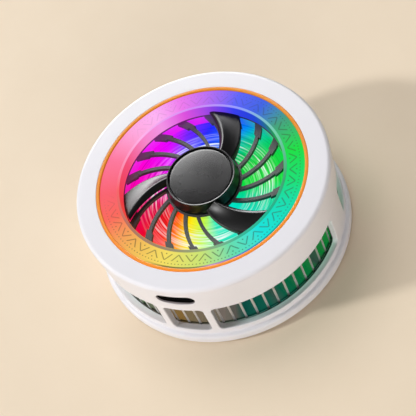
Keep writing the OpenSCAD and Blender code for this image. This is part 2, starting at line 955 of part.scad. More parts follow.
// Vented housing: wall with windows, foot flange and an inner shelf for the
// heat sink; a thin spigot at its top fits inside the cover
module vent_housing() {
    color("whitesmoke")
        difference() {
            rotate_extrude()
                vent_profile();
            around(2)
                rotate(-quarter) {
                    window(-short_window_deg / 2, short_window_deg / 2);
                    for (side = [0, 1])
                        mirror([0, side, 0])
                            window(short_window_deg / 2 + post_deg,
                                short_window_deg / 2 + post_deg + long_window_deg);
                }
            around(4, quarter / 2)
                translate([base_screw_at, 0, z_base_top - eps])
                    cylinder(r = base_screw_r + screw_play, h = z_sink - z_base_top - hole_roof_t);
        }
}

module vent_profile() {
    polygon([
        [shelf_r, z_base_top],
        [skirt_in_r, z_base_top],
        [skirt_in_r, flange_lift],
        [flange_r - flange_round, flange_lift],
        [flange_r - flange_round, flange_lift + flange_round],
        [flange_r, flange_lift + flange_round],
        [flange_r, flange_h - flange_round],
        [flange_r - flange_round, flange_h - flange_round],
        [flange_r - flange_round, flange_h],
        [skirt_low_r, flange_h],
        [skirt_low_r, z_seam],
        [spigot_r, z_seam],
        [spigot_r, z_seam + spigot_h],
        [vent_in_r, z_seam + spigot_h],
        [vent_in_r, z_sink],
        [shelf_r, z_sink]
    ]);
    for (z = [flange_lift + flange_round, flange_h - flange_round])
        translate([flange_r - flange_round, z])
            circle(flange_round);
}

// A straight cut through the wall in direction a, w wide, with rounded corners
module window_end(a, w) {
    rotate(a)
        translate([vent_in_r - window_over, 0, (sill_h + z_window) / 2])
            rotate([quarter, 0, quarter])
                linear_extrude(skirt_low_r - vent_in_r + 2 * window_over)
                    rounded_rect(w, z_window - sill_h, window_corner);
}

// A window from angle a to b: a block at each end and, a hair lower so that no
// two cuts share a face, a sector between
module window(a, b) {
    end_w = 4 * window_corner;
    end_half_deg = asin(end_w / 2 / skirt_low_r);
    window_end(a + end_half_deg, end_w);
    window_end(b - end_half_deg, end_w);
    translate([0, 0, sill_h + eps])
        linear_extrude(z_window - sill_h - 2 * eps)
            intersection() {
                difference() {
                    circle(skirt_low_r + 2 * window_over);
                    circle(vent_in_r - 2 * window_over);
                }
                wedge(a + end_half_deg, b - end_half_deg, 2 * cover_r);
            }
}

module rounded_rect(w, h, r) {
    square([w - 2 * r, h], center = true);
    square([w, h - 2 * r], center = true);
    for (x = [-1, 1])
        for (y = [-1, 1])
            translate([x * (w / 2 - r), y * (h / 2 - r)])
                circle(r);
}

// Magnet ring: short curved magnets in a circle, for the phone's own ring
module magnet_ring() {
    slot_w = 0.4;
    color("#8a8d91")
        translate([0, 0, z_base_top])
            linear_extrude(magnet_t)
                difference() {
                    circle(magnet_r + magnet_w);
                    circle(magnet_r);
                    around(magnet_n)
                        translate([0, -slot_w / 2])
                            square([cover_r, slot_w]);
                }
}

// Magnet shunt: thin steel ring that turns the magnets' field downward
module magnet_shunt() {
    color("gray")
        ring(magnet_r + magnet_w, magnet_r, shunt_t, z_base_top + magnet_t);
}

// Base cover: white plate that closes the underside round the cold plate
module base_cover() {
    color("whitesmoke")
        difference() {
            ring(base_r, cold_r + slip, base_t, z_base);
            around(4, quarter / 2)
                translate([base_screw_at, 0, z_base - eps]) {
                    cylinder(r = base_screw_r + screw_play, h = base_t + 2 * eps);
                    cylinder(r = base_screw_r + base_head_over + screw_play, h = base_head_h + eps);
                }
        }
}

// Base screws: fix the base cover to the housing, under the pad
module base_screws() {
    end_gap = 0.5;
    color("slategray")
        around(4, quarter / 2)
            translate([base_screw_at, 0, z_base])
                screw(base_screw_r, z_sink - z_base - base_head_h - end_gap,
                    base_screw_r + base_head_over, base_head_h);
}

// Silicone pad: soft ring that grips the phone round the cold plate
module silicone_pad() {
    color("lightgray")
        ring(pad_r, pad_in_r, pad_t);
}

top_cover();
accent_ring();
light_ring();
led_board();
rgb_leds();
board_chips();
usb_shell();
usb_tongue();
fan_frame();
frame_screws();
motor_board();
stator_core();
stator_coils();
motor_bearing();
thrust_pad();
impeller();
hub_cap();
rotor_yoke();
rotor_magnet();
rotor_shaft();
light_disc();
heatsink();
clamp_screws();
tec_hot_plate();
tec_pellets();
tec_cold_plate();
foam_gasket();
cold_plate();
vent_housing();
magnet_ring();
magnet_shunt();
base_cover();
base_screws();
silicone_pad();
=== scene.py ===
import math

import bmesh
import bpy
from mathutils import Matrix, Vector


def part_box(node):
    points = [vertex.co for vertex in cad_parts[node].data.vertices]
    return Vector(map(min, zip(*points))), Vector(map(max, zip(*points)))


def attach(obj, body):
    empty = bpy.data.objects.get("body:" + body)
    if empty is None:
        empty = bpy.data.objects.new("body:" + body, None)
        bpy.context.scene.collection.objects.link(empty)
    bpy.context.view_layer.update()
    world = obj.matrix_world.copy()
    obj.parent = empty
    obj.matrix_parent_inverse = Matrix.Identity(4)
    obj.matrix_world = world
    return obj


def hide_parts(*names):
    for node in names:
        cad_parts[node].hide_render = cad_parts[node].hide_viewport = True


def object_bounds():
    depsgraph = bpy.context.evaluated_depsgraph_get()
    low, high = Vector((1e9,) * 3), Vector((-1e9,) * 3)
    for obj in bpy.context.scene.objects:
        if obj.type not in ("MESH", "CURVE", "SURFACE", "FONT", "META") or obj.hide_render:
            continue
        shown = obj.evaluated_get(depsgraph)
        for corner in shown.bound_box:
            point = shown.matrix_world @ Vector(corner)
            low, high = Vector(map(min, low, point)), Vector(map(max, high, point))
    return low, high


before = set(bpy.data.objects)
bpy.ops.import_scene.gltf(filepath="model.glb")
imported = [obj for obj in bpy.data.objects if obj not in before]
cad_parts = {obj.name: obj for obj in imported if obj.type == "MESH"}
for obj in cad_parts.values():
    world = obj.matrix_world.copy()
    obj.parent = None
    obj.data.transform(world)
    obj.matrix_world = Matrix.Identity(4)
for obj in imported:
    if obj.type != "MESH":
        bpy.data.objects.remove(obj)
cad_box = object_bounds()


# Camera: a long lens above the cooler's front right, turned about its own axis.
# Lengths in this file are millimetres. Angles are degrees round the fan's axis, from +X.
MM = 0.001
RIM_TOP = cad_box[1][2] / MM
VIEW_DISTANCE = 327.9
VIEW_HEIGHT = math.radians(52.53)
VIEW_TURN = math.radians(35)
VIEW_ROLL = math.radians(-26.21)
AIM_RIGHT, AIM_UP = -0.0057, -0.0252
LENS_PX, FRAME_PX = 1300, 416

side_on = Matrix.Rotation(VIEW_TURN, 3, "Z")
away = side_on @ Vector((0, -math.cos(VIEW_HEIGHT), math.sin(VIEW_HEIGHT)))
level = side_on @ Vector((1, 0, 0))
aim = (-away + AIM_RIGHT * level + AIM_UP * level.cross(-away)).normalized()
across = aim.cross(level.cross(-away)).normalized()
upward = across.cross(aim)
image_x = math.cos(VIEW_ROLL) * across + math.sin(VIEW_ROLL) * upward
image_y = math.cos(VIEW_ROLL) * upward - math.sin(VIEW_ROLL) * across
camera = bpy.data.objects.new("camera", bpy.data.cameras.new("camera"))
camera.data.sensor_width = 36
camera.data.lens = camera.data.sensor_width * LENS_PX / FRAME_PX
camera.data.clip_start = 0.01
camera.matrix_world = Matrix((image_x, image_y, -aim)).transposed().to_4x4()
camera.location = (Vector((0, 0, RIM_TOP)) + VIEW_DISTANCE * away) * MM
bpy.context.collection.objects.link(camera)
bpy.context.scene.camera = camera


# Silicone pad: a soft grey ring, moulded with fine grip ridges, glued under the base.
# It keeps the cooler from sliding on the phone and carries it when it stands on a table.
def size_of(node):
    """Outer radius, lowest and highest point of a round node."""
    low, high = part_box(node)
    return high.x / MM, low.z / MM, high.z / MM


def rounded(corners, steps=5):
    """Closed outline whose corners, given as (radius, height, fillet), become arcs."""
    outline = []
    for i, (x, y, fillet) in enumerate(corners):
        here = Vector((x, y))
        if not fillet:
            outline.append(here)
            continue
        before = (Vector(corners[i - 1][:2]) - here).normalized()
        after = (Vector(corners[(i + 1) % len(corners)][:2]) - here).normalized()
        half = before.angle(after) / 2
        centre = here + (before + after).normalized() * fillet / math.sin(half)
        start = here + before * fillet / math.tan(half) - centre
        end = here + after * fillet / math.tan(half) - centre
        first = math.atan2(start.y, start.x)
        sweep = (math.atan2(end.y, end.x) - first + math.pi) % math.tau - math.pi
        for k in range(steps + 1):
            angle = first + sweep * k / steps
            outline.append(centre + fillet * Vector((math.cos(angle), math.sin(angle))))
    return outline


def add_lathe(shape, outline, segments=240):
    """Turns an outline of (radius, height) about the fan's axis into a bmesh."""
    axis_points = {}
    rings = []
    for k in range(segments):
        angle = math.tau * k / segments
        ring = []
        for i, (r, z) in enumerate(outline):
            if r > 1e-6:
                ring.append(shape.verts.new((r * math.cos(angle) * MM, r * math.sin(angle) * MM, z * MM)))
            else:
                if i not in axis_points:
                    axis_points[i] = shape.verts.new((0, 0, z * MM))
                ring.append(axis_points[i])
        rings.append(ring)
    for k in range(segments):
        here, there = rings[k], rings[(k + 1) % segments]
        for i in range(len(outline)):
            j = (i + 1) % len(outline)
            corners = list(dict.fromkeys((here[i], there[i], there[j], here[j])))
            if len(corners) > 2:
                shape.faces.new(corners)


def make_piece(name, shape, body, slot, *nodes, sharp=35):
    """Turns a bmesh into an object that rides on a body and stands for CAD nodes."""
    bmesh.ops.recalc_face_normals(shape, faces=shape.faces)
    mesh = bpy.data.meshes.new(name)
    shape.to_mesh(mesh)
    shape.free()
    mesh.shade_smooth()
    mesh.set_sharp_from_angle(angle=math.radians(sharp))
    made = bpy.data.objects.new(name, mesh)
    bpy.context.collection.objects.link(made)
    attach(made, body)
    if nodes:
        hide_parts(*nodes)
    return made


def turned_piece(name, outline, body, slot, *nodes, segments=240):
    """A piece that is one turned outline."""
    shape = bmesh.new()
    add_lathe(shape, outline, segments)
    return make_piece(name, shape, body, slot, *nodes)


def node_group(name, inputs, outputs):
    """Empty shader group with named sockets; returns the tree and its two end nodes."""
    tree = bpy.data.node_groups.new(name, "ShaderNodeTree")
    for label, default in inputs.items():
        socket = tree.interface.new_socket(label, in_out="INPUT", socket_type="NodeSocketFloat")
        socket.default_value = default
    for label in outputs:
        tree.interface.new_socket(label, in_out="OUTPUT", socket_type="NodeSocketFloat")
    return tree, tree.nodes.new("NodeGroupInput"), tree.nodes.new("NodeGroupOutput")


def join(tree, source, target):
    """Links two sockets, or sets a plain number on the target."""
    if isinstance(source, (int, float)):
        target.default_value = source
    else:
        tree.links.new(source, target)


def noise(tree, scale, detail, vector=None):
    """Fractal noise over the piece's own coordinates, or over another vector."""
    made = tree.nodes.new("ShaderNodeTexNoise")
    join(tree, scale, made.inputs["Scale"])
    made.inputs["Detail"].default_value = detail
    made.inputs["Roughness"].default_value = 0.5
    if vector is None:
        vector = tree.nodes.new("ShaderNodeTexCoord").outputs["Object"]
    tree.links.new(vector, made.inputs["Vector"])
    return made.outputs["Fac"]


# Fine texture of a moulded skin: a close grain, and slow patches where the sheen differs
grain_tree, grain_in, grain_out = node_group("moulded_grain", {"Scale": 4000}, ("Height", "Patches"))
join(grain_tree, noise(grain_tree, grain_in.outputs["Scale"], 2), grain_out.inputs["Height"])
join(grain_tree, noise(grain_tree, 90, 4), grain_out.inputs["Patches"])


def new_material(name, **settings):
    """Node material; settings are the shader's own sockets, with spaces as underscores."""
    made = bpy.data.materials.new(name)
    made.use_nodes = True
    shader = made.node_tree.nodes["Principled BSDF"]
    for label, value in settings.items():
        shader.inputs[label.replace("_", " ")].default_value = value
    return made, made.node_tree, shader


def place_group(tree, group, **values):
    """Places a shader group in a material with its own values."""
    made = tree.nodes.new("ShaderNodeGroup")
    made.node_tree = group
    for label, value in values.items():
        join(tree, value, made.inputs[label.replace("_", " ")])
    return made.outputs


def spread(tree, mask, low, high, start=0.3, end=0.7):
    """Stretches a mask from start..end to low..high."""
    made = tree.nodes.new("ShaderNodeMapRange")
    join(tree, mask, made.inputs["Value"])
    for label, value in (("From Min", start), ("From Max", end), ("To Min", low), ("To Max", high)):
        made.inputs[label].default_value = value
    return made.outputs["Result"]


def blend_colours(tree, mask, first, second):
    """Mixes two colours, each a plain RGB triple or a socket, by a mask."""
    made = tree.nodes.new("ShaderNodeMix")
    made.data_type = "RGBA"
    join(tree, mask, made.inputs["Factor"])
    for colour, socket in ((first, made.inputs["A"]), (second, made.inputs["B"])):
        if isinstance(colour, tuple):
            socket.default_value = (*colour, 1)
        else:
            tree.links.new(colour, socket)
    return made.outputs["Result"]


def bump(tree, shader, height, depth):
    """Bump of a real depth, in millimetres, on a shader."""
    made = tree.nodes.new("ShaderNodeBump")
    made.inputs["Strength"].default_value = 1
    made.inputs["Distance"].default_value = depth * MM
    tree.links.new(height, made.inputs["Height"])
    tree.links.new(made.outputs["Normal"], shader.inputs["Normal"])


def moulded(name, light, dark, rough, grain=4000, depth=0.01, **settings):
    """Moulded plastic, rubber or paint: two close colours in patches, a grain and uneven sheen."""
    made, tree, shader = new_material(name, **settings)
    skin = place_group(tree, grain_tree, Scale=grain)
    tone = blend_colours(tree, spread(tree, skin["Patches"], 0, 1), light, dark)
    join(tree, tone, shader.inputs["Base Color"])
    join(tree, spread(tree, skin["Patches"], rough - 0.04, rough + 0.05), shader.inputs["Roughness"])
    bump(tree, shader, skin["Height"], depth)
    return made


PAD_INNER, PAD_RIDGES, GROOVE = 18.2, 5, 0.15
pad_r, pad_low, pad_top = size_of("silicone_pad")
pad_outline = [Vector((PAD_INNER, pad_top)), Vector((PAD_INNER, pad_low + GROOVE))]
ridge_pitch = (pad_r - PAD_INNER) / PAD_RIDGES
for k in range(PAD_RIDGES):
    for share, lift in ((0.12, 0), (0.88, 0), (0.94, GROOVE), (1.06, GROOVE)):
        if k < PAD_RIDGES - 1 or share < 0.9:
            pad_outline.append(Vector((PAD_INNER + (k + share) * ridge_pitch, pad_low + lift)))
pad_outline += [Vector((pad_r, pad_low + GROOVE)), Vector((pad_r, pad_top))]
pad = turned_piece("silicone_pad_ring", pad_outline, "case", "silicone", "silicone_pad")
silicone = moulded("silicone", (0.52, 0.53, 0.56), (0.46, 0.47, 0.5), 0.62, 2600, 0.02)
pad.data.materials.append(silicone)


# Base cover: white moulded plate that closes the underside, held by four small screws.
# The screws are blackened steel and lie under the glued pad.
def white_plastic(name, **settings):
    """Satin white moulding, a touch cool, with a very fine spark-eroded grain."""
    return moulded(name, (0.825, 0.822, 0.87), (0.805, 0.802, 0.85), 0.36, 5200, 0.006, **settings)


def worn_metal(name, light, dark, rough, grain=3000):
    """Bare or blackened metal with a cloudy tone and a very fine grain."""
    return moulded(name, light, dark, rough, grain, 0.004, Metallic=1.0)


def dress(material, *nodes):
    """Gives CAD nodes that keep their shape a material."""
    for node in nodes:
        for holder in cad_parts[node].material_slots:
            holder.material = material


base_white = white_plastic("base_white")
dress(base_white, "base_cover")
screw_steel = worn_metal("screw_steel", (0.3, 0.3, 0.32), (0.18, 0.18, 0.2), 0.38)
dress(screw_steel, "base_screws", "clamp_screws", "frame_screws")


# Cold plate: the disc that touches the phone, turned from aluminium and polished.
# Its face keeps fine turning marks, and clamp screws pull it up to the heat sink.
def math_node(tree, operation, *values):
    """One arithmetic node; each value is a number or a socket."""
    made = tree.nodes.new("ShaderNodeMath")
    made.operation = operation
    for value, socket in zip(values, made.inputs):
        join(tree, value, socket)
    return made.outputs[0]


def polar_group():
    """Group that gives the turn about the fan's axis, from 0 to 1, and radius and height in mm."""
    tree, _, out = node_group("polar_place", {}, ("Turn", "Radius", "Height"))
    apart = tree.nodes.new("ShaderNodeSeparateXYZ")
    tree.links.new(tree.nodes.new("ShaderNodeTexCoord").outputs["Object"], apart.inputs[0])
    x, y, z = apart.outputs
    turn = math_node(tree, "DIVIDE", math_node(tree, "ARCTAN2", y, x), math.tau)
    join(tree, math_node(tree, "FRACT", math_node(tree, "ADD", turn, 1)), out.inputs["Turn"])
    squares = [math_node(tree, "MULTIPLY", v, v) for v in (x, y)]
    length = math_node(tree, "SQRT", math_node(tree, "ADD", *squares))
    join(tree, math_node(tree, "DIVIDE", length, MM), out.inputs["Radius"])
    join(tree, math_node(tree, "DIVIDE", z, MM), out.inputs["Height"])
    return tree


polar_tree = polar_group()


def ring_marks_group():
    """Group for marks that run round the axis: long arcs, short across."""
    tree, put, out = node_group("ring_marks", {"Across": 3.0, "Along": 2.0}, ("Marks",))
    where = place_group(tree, polar_tree)
    angle = math_node(tree, "MULTIPLY", where["Turn"], math.tau)
    vector = tree.nodes.new("ShaderNodeCombineXYZ")
    for operation, socket in (("COSINE", 0), ("SINE", 1)):
        swing = math_node(tree, operation, angle)
        join(tree, math_node(tree, "MULTIPLY", swing, put.outputs["Along"]), vector.inputs[socket])
    join(tree, math_node(tree, "MULTIPLY", where["Radius"], put.outputs["Across"]), vector.inputs[2])
    join(tree, noise(tree, 1.0, 3, vector.outputs[0]), out.inputs["Marks"])
    return tree


ring_marks_tree = ring_marks_group()


def turned_metal(name, light, dark, rough, across):
    """Metal with fine turning marks round the axis."""
    made, tree, shader = new_material(name, Metallic=1.0)
    marks = place_group(tree, ring_marks_tree, Across=across, Along=1.2)["Marks"]
    join(tree, blend_colours(tree, spread(tree, marks, 0, 1), light, dark), shader.inputs["Base Color"])
    join(tree, spread(tree, marks, rough - 0.06, rough + 0.08), shader.inputs["Roughness"])
    bump(tree, shader, marks, 0.006)
    return made


COLD_RIM_R, COLD_RIM_W, COLD_RIM_T = 18.4, 1.4, 0.4
cold_low, cold_top = size_of("cold_plate")[1:]
cold_face_r = COLD_RIM_R - COLD_RIM_W
cold_outline = rounded([
    (0, cold_low, 0),
    (cold_face_r, cold_low, 0.12),
    (cold_face_r, cold_top - COLD_RIM_T, 0),
    (COLD_RIM_R, cold_top - COLD_RIM_T, 0.05),
    (COLD_RIM_R, cold_top, 0.05),
    (0, cold_top, 0),
])
cold_disc = turned_piece("cold_plate_disc", cold_outline, "case", "cold_metal", "cold_plate")
cold_disc.data.materials.append(turned_metal("cold_metal", (0.82, 0.83, 0.84), (0.66, 0.67, 0.69), 0.22, 9))


# Magnet ring: sixteen nickel-plated segments glued in a circle, with a steel ring over them.
# They find the phone's own magnets and hold the cooler in place.
dress(worn_metal("nickel_plate", (0.6, 0.59, 0.57), (0.48, 0.47, 0.46), 0.28), "magnet_ring")
dress(worn_metal("shunt_steel", (0.5, 0.5, 0.52), (0.4, 0.4, 0.42), 0.4), "magnet_shunt")


# Thermoelectric plate: two white ceramic squares with dark pellets soldered between them.
# A foam gasket round it keeps damp air away from the cold side.
ceramic = moulded("ceramic", (0.88, 0.88, 0.86), (0.82, 0.82, 0.8), 0.5, 6000, 0.004)
dress(ceramic, "tec_hot_plate", "tec_cold_plate")
dress(worn_metal("pellet_alloy", (0.25, 0.25, 0.28), (0.16, 0.16, 0.18), 0.55, 5000), "tec_pellets")
dress(moulded("gasket_foam", (0.09, 0.09, 0.1), (0.06, 0.06, 0.07), 0.9, 1500, 0.08), "foam_gasket")


# Heat sink: extruded aluminium with sixty-four thin fins over a plate and a solid core.
# A painted glow stands in for the lights' colour in the air gaps between the fins, over a painted shade.
def linear(level):
    """Linear light of a colour level from 0 to 255."""
    share = level / 255
    return share / 12.92 if share <= 0.04045 else ((share + 0.055) / 1.055) ** 2.4


def turn_ramp(tree, turn, stops):
    """Ramp round the axis over stops of (degrees, linear colour)."""
    made = tree.nodes.new("ShaderNodeValToRGB")
    ramp = made.color_ramp
    while len(ramp.elements) < len(stops):
        ramp.elements.new(0.5)
    for element, (degrees, colour) in zip(ramp.elements, stops):
        element.position = degrees / 360
        element.color = (*colour, 1)
    join(tree, turn, made.inputs["Fac"])
    return made.outputs["Color"]


def turn_colours(tree, turn, stops):
    """Colours round the axis, from stops of (degrees, colour levels up to 255)."""
    linear_stops = [(degrees, [linear(level) for level in colour]) for degrees, colour in stops]
    return turn_ramp(tree, turn, linear_stops)


def turn_levels(tree, turn, stops):
    """A mask round the axis, from stops of (degrees, value)."""
    return turn_ramp(tree, turn, [(degrees, [value] * 3) for degrees, value in stops])


# Painted glow between the fins by direction, and the two gaps where it is dimmed
PAINTED_FIN_GLOW = (
    (0, (0, 108, 40)), (28, (0, 90, 52)), (108, (20, 45, 90)), (160, (90, 25, 70)), (200, (50, 85, 60)),
    (240, (80, 106, 74)), (250, (102, 95, 81)), (262, (118, 88, 38)), (268, (107, 92, 66)),
    (285, (102, 92, 85)), (290.5, (82, 73, 68)), (293.5, (2, 58, 51)), (315, (0, 73, 52)),
    (340, (0, 106, 38)), (360, (0, 108, 40)),
)
DULL_GAPS = (
    (0, 0), (309.2, 0), (309.6, 1), (314.8, 1), (315.2, 0), (337.2, 0), (337.8, 1), (342.8, 1),
    (343.4, 0), (360, 0),
)
FIN_FOOT, FOOT_FADE = 1.25, 0.35
fin_r, fin_low = size_of("heatsink")[:2]


def fin_aluminium():
    """Mill-finish aluminium; in the gaps a painted shade and a painted glow of the lights' colours."""
    made, tree, shader = new_material("fin_aluminium", Metallic=0.85, Emission_Strength=1.0)
    where = place_group(tree, polar_tree)
    skin = place_group(tree, grain_tree, Scale=2500)
    tone = blend_colours(tree, spread(tree, skin["Patches"], 0, 1), (0.75, 0.76, 0.78), (0.62, 0.63, 0.66))
    depth = spread(tree, where["Radius"], 1, 0, fin_r - 0.2, fin_r - 0.04)
    # Painted shade: deep in the gaps the fin colour darkens to near black.
    painted_gap_shade = math_node(tree, "MULTIPLY", depth, 0.85)
    join(tree, blend_colours(tree, painted_gap_shade, tone, (0.03, 0.04, 0.04)), shader.inputs["Base Color"])
    join(tree, spread(tree, skin["Patches"], 0.3, 0.45), shader.inputs["Roughness"])
    # Painted glow of the lights by direction, dimmed to a dark green in two gaps.
    dull = turn_levels(tree, where["Turn"], DULL_GAPS)
    glow = blend_colours(tree, dull, turn_colours(tree, where["Turn"], PAINTED_FIN_GLOW), (0.02, 0.048, 0.034))
    # The painted glow stops just above the fins' foot, leaving a painted dark line there.
    foot = fin_low + FIN_FOOT
    above_foot = spread(tree, where["Height"], 0, 1, foot, foot + FOOT_FADE)
    behind = math_node(tree, "LESS_THAN", where["Radius"], fin_r - 0.6)
    painted_glow_mask = math_node(tree, "MULTIPLY", depth, math_node(tree, "MAXIMUM", above_foot, behind))
    join(tree, blend_colours(tree, painted_glow_mask, (0.0, 0.0, 0.0), glow), shader.inputs["Emission Color"])
    bump(tree, shader, skin["Height"], 0.01)
    return made


dress(fin_aluminium(), "heatsink")


# Vented housing: white moulded wall with two short and four long windows and a foot flange.
# A thin spigot at its top slides into the cover, and the sink rests on its inner shelf.
def lipped_cutter(outline, place, lip, depth):
    """Solid that cuts an opening with softly rounded rims. The outline runs anticlockwise in
    (across, up) from its left side, and its upper half mirrors the lower; place turns
    (across, up, depth) into a point of the part."""
    well_outside = -12
    flare = 1.35
    first_angle = 10
    steps = 6
    profile = [(lip * flare, well_outside)]
    for k in range(steps + 1):
        angle = math.radians(first_angle + (90 - first_angle) * k / steps)
        profile.append((lip * (1 - math.sin(angle)), lip * (1 - math.cos(angle))))
    profile.append((0, depth))
    count = len(outline)
    normals = []
    for i in range(count):
        along = outline[(i + 1) % count] - outline[i - 1]
        normals.append(Vector((along.y, -along.x)).normalized())
    shape = bmesh.new()
    loops = []
    for offset, down in profile:
        points = [outline[i] + normals[i] * offset for i in range(count)]
        loops.append([shape.verts.new(place(p.x, p.y, down) * MM) for p in points])
    for upper, lower in zip(loops, loops[1:]):
        for i in range(count):
            j = (i + 1) % count
            shape.faces.new((upper[i], upper[j], lower[j], lower[i]))
    for end in (loops[0], loops[-1]):
        for i in range(count // 2 - 1):
            shape.faces.new((end[i], end[i + 1], end[-2 - i], end[-1 - i]))
    bmesh.ops.recalc_face_normals(shape, faces=shape.faces)
    mesh = bpy.data.meshes.new("cutter")
    shape.to_mesh(mesh)
    shape.free()
    made = bpy.data.objects.new("cutter", mesh)
    bpy.context.collection.objects.link(made)
    return made


def cut_openings(piece, cutters):
    """Cuts the cutters out of a piece, removes them and evens the shading round the cuts."""
    for cutter in cutters:
        step = piece.modifiers.new("opening", "BOOLEAN")
        step.operation = "DIFFERENCE"
        step.solver = "EXACT"
        step.object = cutter
    bpy.context.view_layer.update()
    solid = bpy.data.meshes.new_from_object(piece.evaluated_get(bpy.context.evaluated_depsgraph_get()))
    piece.modifiers.clear()
    piece.data = solid
    solid.shade_smooth()
    solid.set_sharp_from_angle(angle=math.radians(35))
    evened = piece.modifiers.new("even_shading", "WEIGHTED_NORMAL")
    evened.keep_sharp = True
    for cutter in cutters:
        bpy.data.objects.remove(cutter)


FLANGE_OUT, WALL_T, SPIGOT_IN, SHELF_W, SKIRT_STEP = 1.25, 1.75, 1.2, 2.45, 1.1
FLANGE_TOP, SHELF_TOP, SHELF_LOW, SILL, SEAM = 3.3, 3.5, 1.5, 5.1, 16.1
WINDOW_TOP, WINDOW_CORNER, WINDOW_LIP = 15.8, 1.3, 0.16
SHORT_WINDOW, POST, LONG_WINDOW = 18.5, 3.4, 70
flange_r, flange_low, spigot_top = size_of("vent_housing")
wall_r = flange_r - FLANGE_OUT
wall_in_r = wall_r - WALL_T
housing = turned_piece("vent_housing_wall", rounded([
    (wall_in_r - SHELF_W, SHELF_LOW, 0.1),
    (wall_in_r + SKIRT_STEP, SHELF_LOW, 0),
    (wall_in_r + SKIRT_STEP, flange_low, 0.2),
    (flange_r, flange_low, 0.8),
    (flange_r, FLANGE_TOP, 0.8),
    (wall_r, FLANGE_TOP, 0.35),
    (wall_r, SEAM, 0.12),
    (wall_r - SPIGOT_IN, SEAM, 0),
    (wall_r - SPIGOT_IN, spigot_top, 0.2),
    (wall_in_r, spigot_top, 0.2),
    (wall_in_r, SHELF_TOP, 0.3),
    (wall_in_r - SHELF_W, SHELF_TOP, 0.2),
]), "case", "white_plastic", "vent_housing", segments=360)


def window_cutter(middle, width):
    """Cutter for a window in the round wall, centred on an angle."""
    half = math.radians(width) / 2 * wall_r
    corners = [(-half, SILL), (half, SILL), (half, WINDOW_TOP), (-half, WINDOW_TOP)]
    outline = rounded([(x, z, WINDOW_CORNER) for x, z in corners], 8)
    step_length = 1.2
    filled = []
    for here, there in zip(outline, outline[1:] + outline[:1]):
        parts = max(1, round(abs(there.x - here.x) / step_length))
        filled += [here.lerp(there, k / parts) for k in range(parts)]

    def place(across_wall, up, depth):
        angle = math.radians(middle) + across_wall / wall_r
        return Vector(((wall_r - depth) * math.cos(angle), (wall_r - depth) * math.sin(angle), up))

    return lipped_cutter(filled, place, WINDOW_LIP, WALL_T + 1)


long_middle = SHORT_WINDOW / 2 + POST + LONG_WINDOW / 2
window_cutters = []
for front in (-90, 90):
    window_cutters.append(window_cutter(front, SHORT_WINDOW))
    for side in (-1, 1):
        window_cutters.append(window_cutter(front + side * long_middle, LONG_WINDOW))
cut_openings(housing, window_cutters)


# By direction: where the painted gap shade shows, how deep the sill's painted shade is, and its painted
# glow
GAP_SHADE_SHOW = ((0, 1), (60, 1), (80, 0), (285, 0), (305, 1), (360, 1))
SILL_SHADE = (
    (0, 0.1), (6, 0.1), (9, 0.35), (60, 0.35), (80, 0.1), (256, 0.1), (259, 0.6), (287, 0.6), (297, 0.15),
    (360, 0.1),
)
PAINTED_SILL_GLOW = (
    (0, (105, 170, 142)), (6, (105, 170, 142)), (9, (60, 135, 100)), (60, (50, 110, 90)),
    (108, (60, 80, 130)), (160, (130, 60, 110)), (200, (90, 120, 100)), (245, (125, 150, 142)),
    (256, (90, 95, 85)), (259, (44, 36, 28)), (289, (44, 39, 36)), (297, (100, 146, 138)),
    (330, (105, 164, 144)), (360, (105, 170, 142)),
)


def housing_white():
    """White moulding with a painted glow and painted shade on the sills, and a painted dark gap behind
    them.
    """
    made = white_plastic("housing_white", Emission_Strength=0.55)
    tree = made.node_tree
    shader = tree.nodes["Principled BSDF"]
    where = place_group(tree, polar_tree)
    # Painted glow: the lights' colour is painted on the sills just above SILL.
    inside = spread(tree, where["Radius"], 1, 0, wall_in_r, wall_r - 0.2)
    low = spread(tree, where["Height"], 1, 0, SILL + 0.1, SILL + 1.5)
    low = math_node(tree, "MULTIPLY", low, math_node(tree, "GREATER_THAN", where["Height"], SILL - 0.2))
    glow = turn_colours(tree, where["Turn"], PAINTED_SILL_GLOW)
    # Painted shade: the gap behind the sill is painted near black.
    gap_shade = spread(tree, where["Radius"], 1, 0, wall_in_r + 0.25, wall_in_r + 0.45)
    gap_shade = math_node(tree, "MULTIPLY", gap_shade, turn_levels(tree, where["Turn"], GAP_SHADE_SHOW))
    outside_gap_shade = math_node(tree, "SUBTRACT", 1, gap_shade)
    painted_spill = math_node(tree, "MULTIPLY", math_node(tree, "MULTIPLY", inside, low), outside_gap_shade)
    join(tree, blend_colours(tree, painted_spill, (0.0, 0.0, 0.0), glow), shader.inputs["Emission Color"])
    # Painted shade: the sills darken towards grey, by direction.
    inset = spread(tree, where["Radius"], 1, 0, wall_r - 0.5, wall_r - 0.1)
    shade = math_node(tree, "MULTIPLY", inset, turn_levels(tree, where["Turn"], SILL_SHADE))
    white = shader.inputs["Base Color"].links[0].from_socket
    shaded = blend_colours(tree, shade, white, (0.2, 0.19, 0.2))
    join(tree, blend_colours(tree, gap_shade, shaded, (0.008, 0.02, 0.016)), shader.inputs["Base Color"])
    return made


housing.data.materials.append(housing_white())


# Lit disc: clear acrylic with moulded rings, laid on the fins. The lights round its edge
# run through it in a colour wheel, and the rings carry bright arcs, which are painted highlights.
WHEEL_R, ARC_R, LEAN_MAX = 16, 14.5, 4

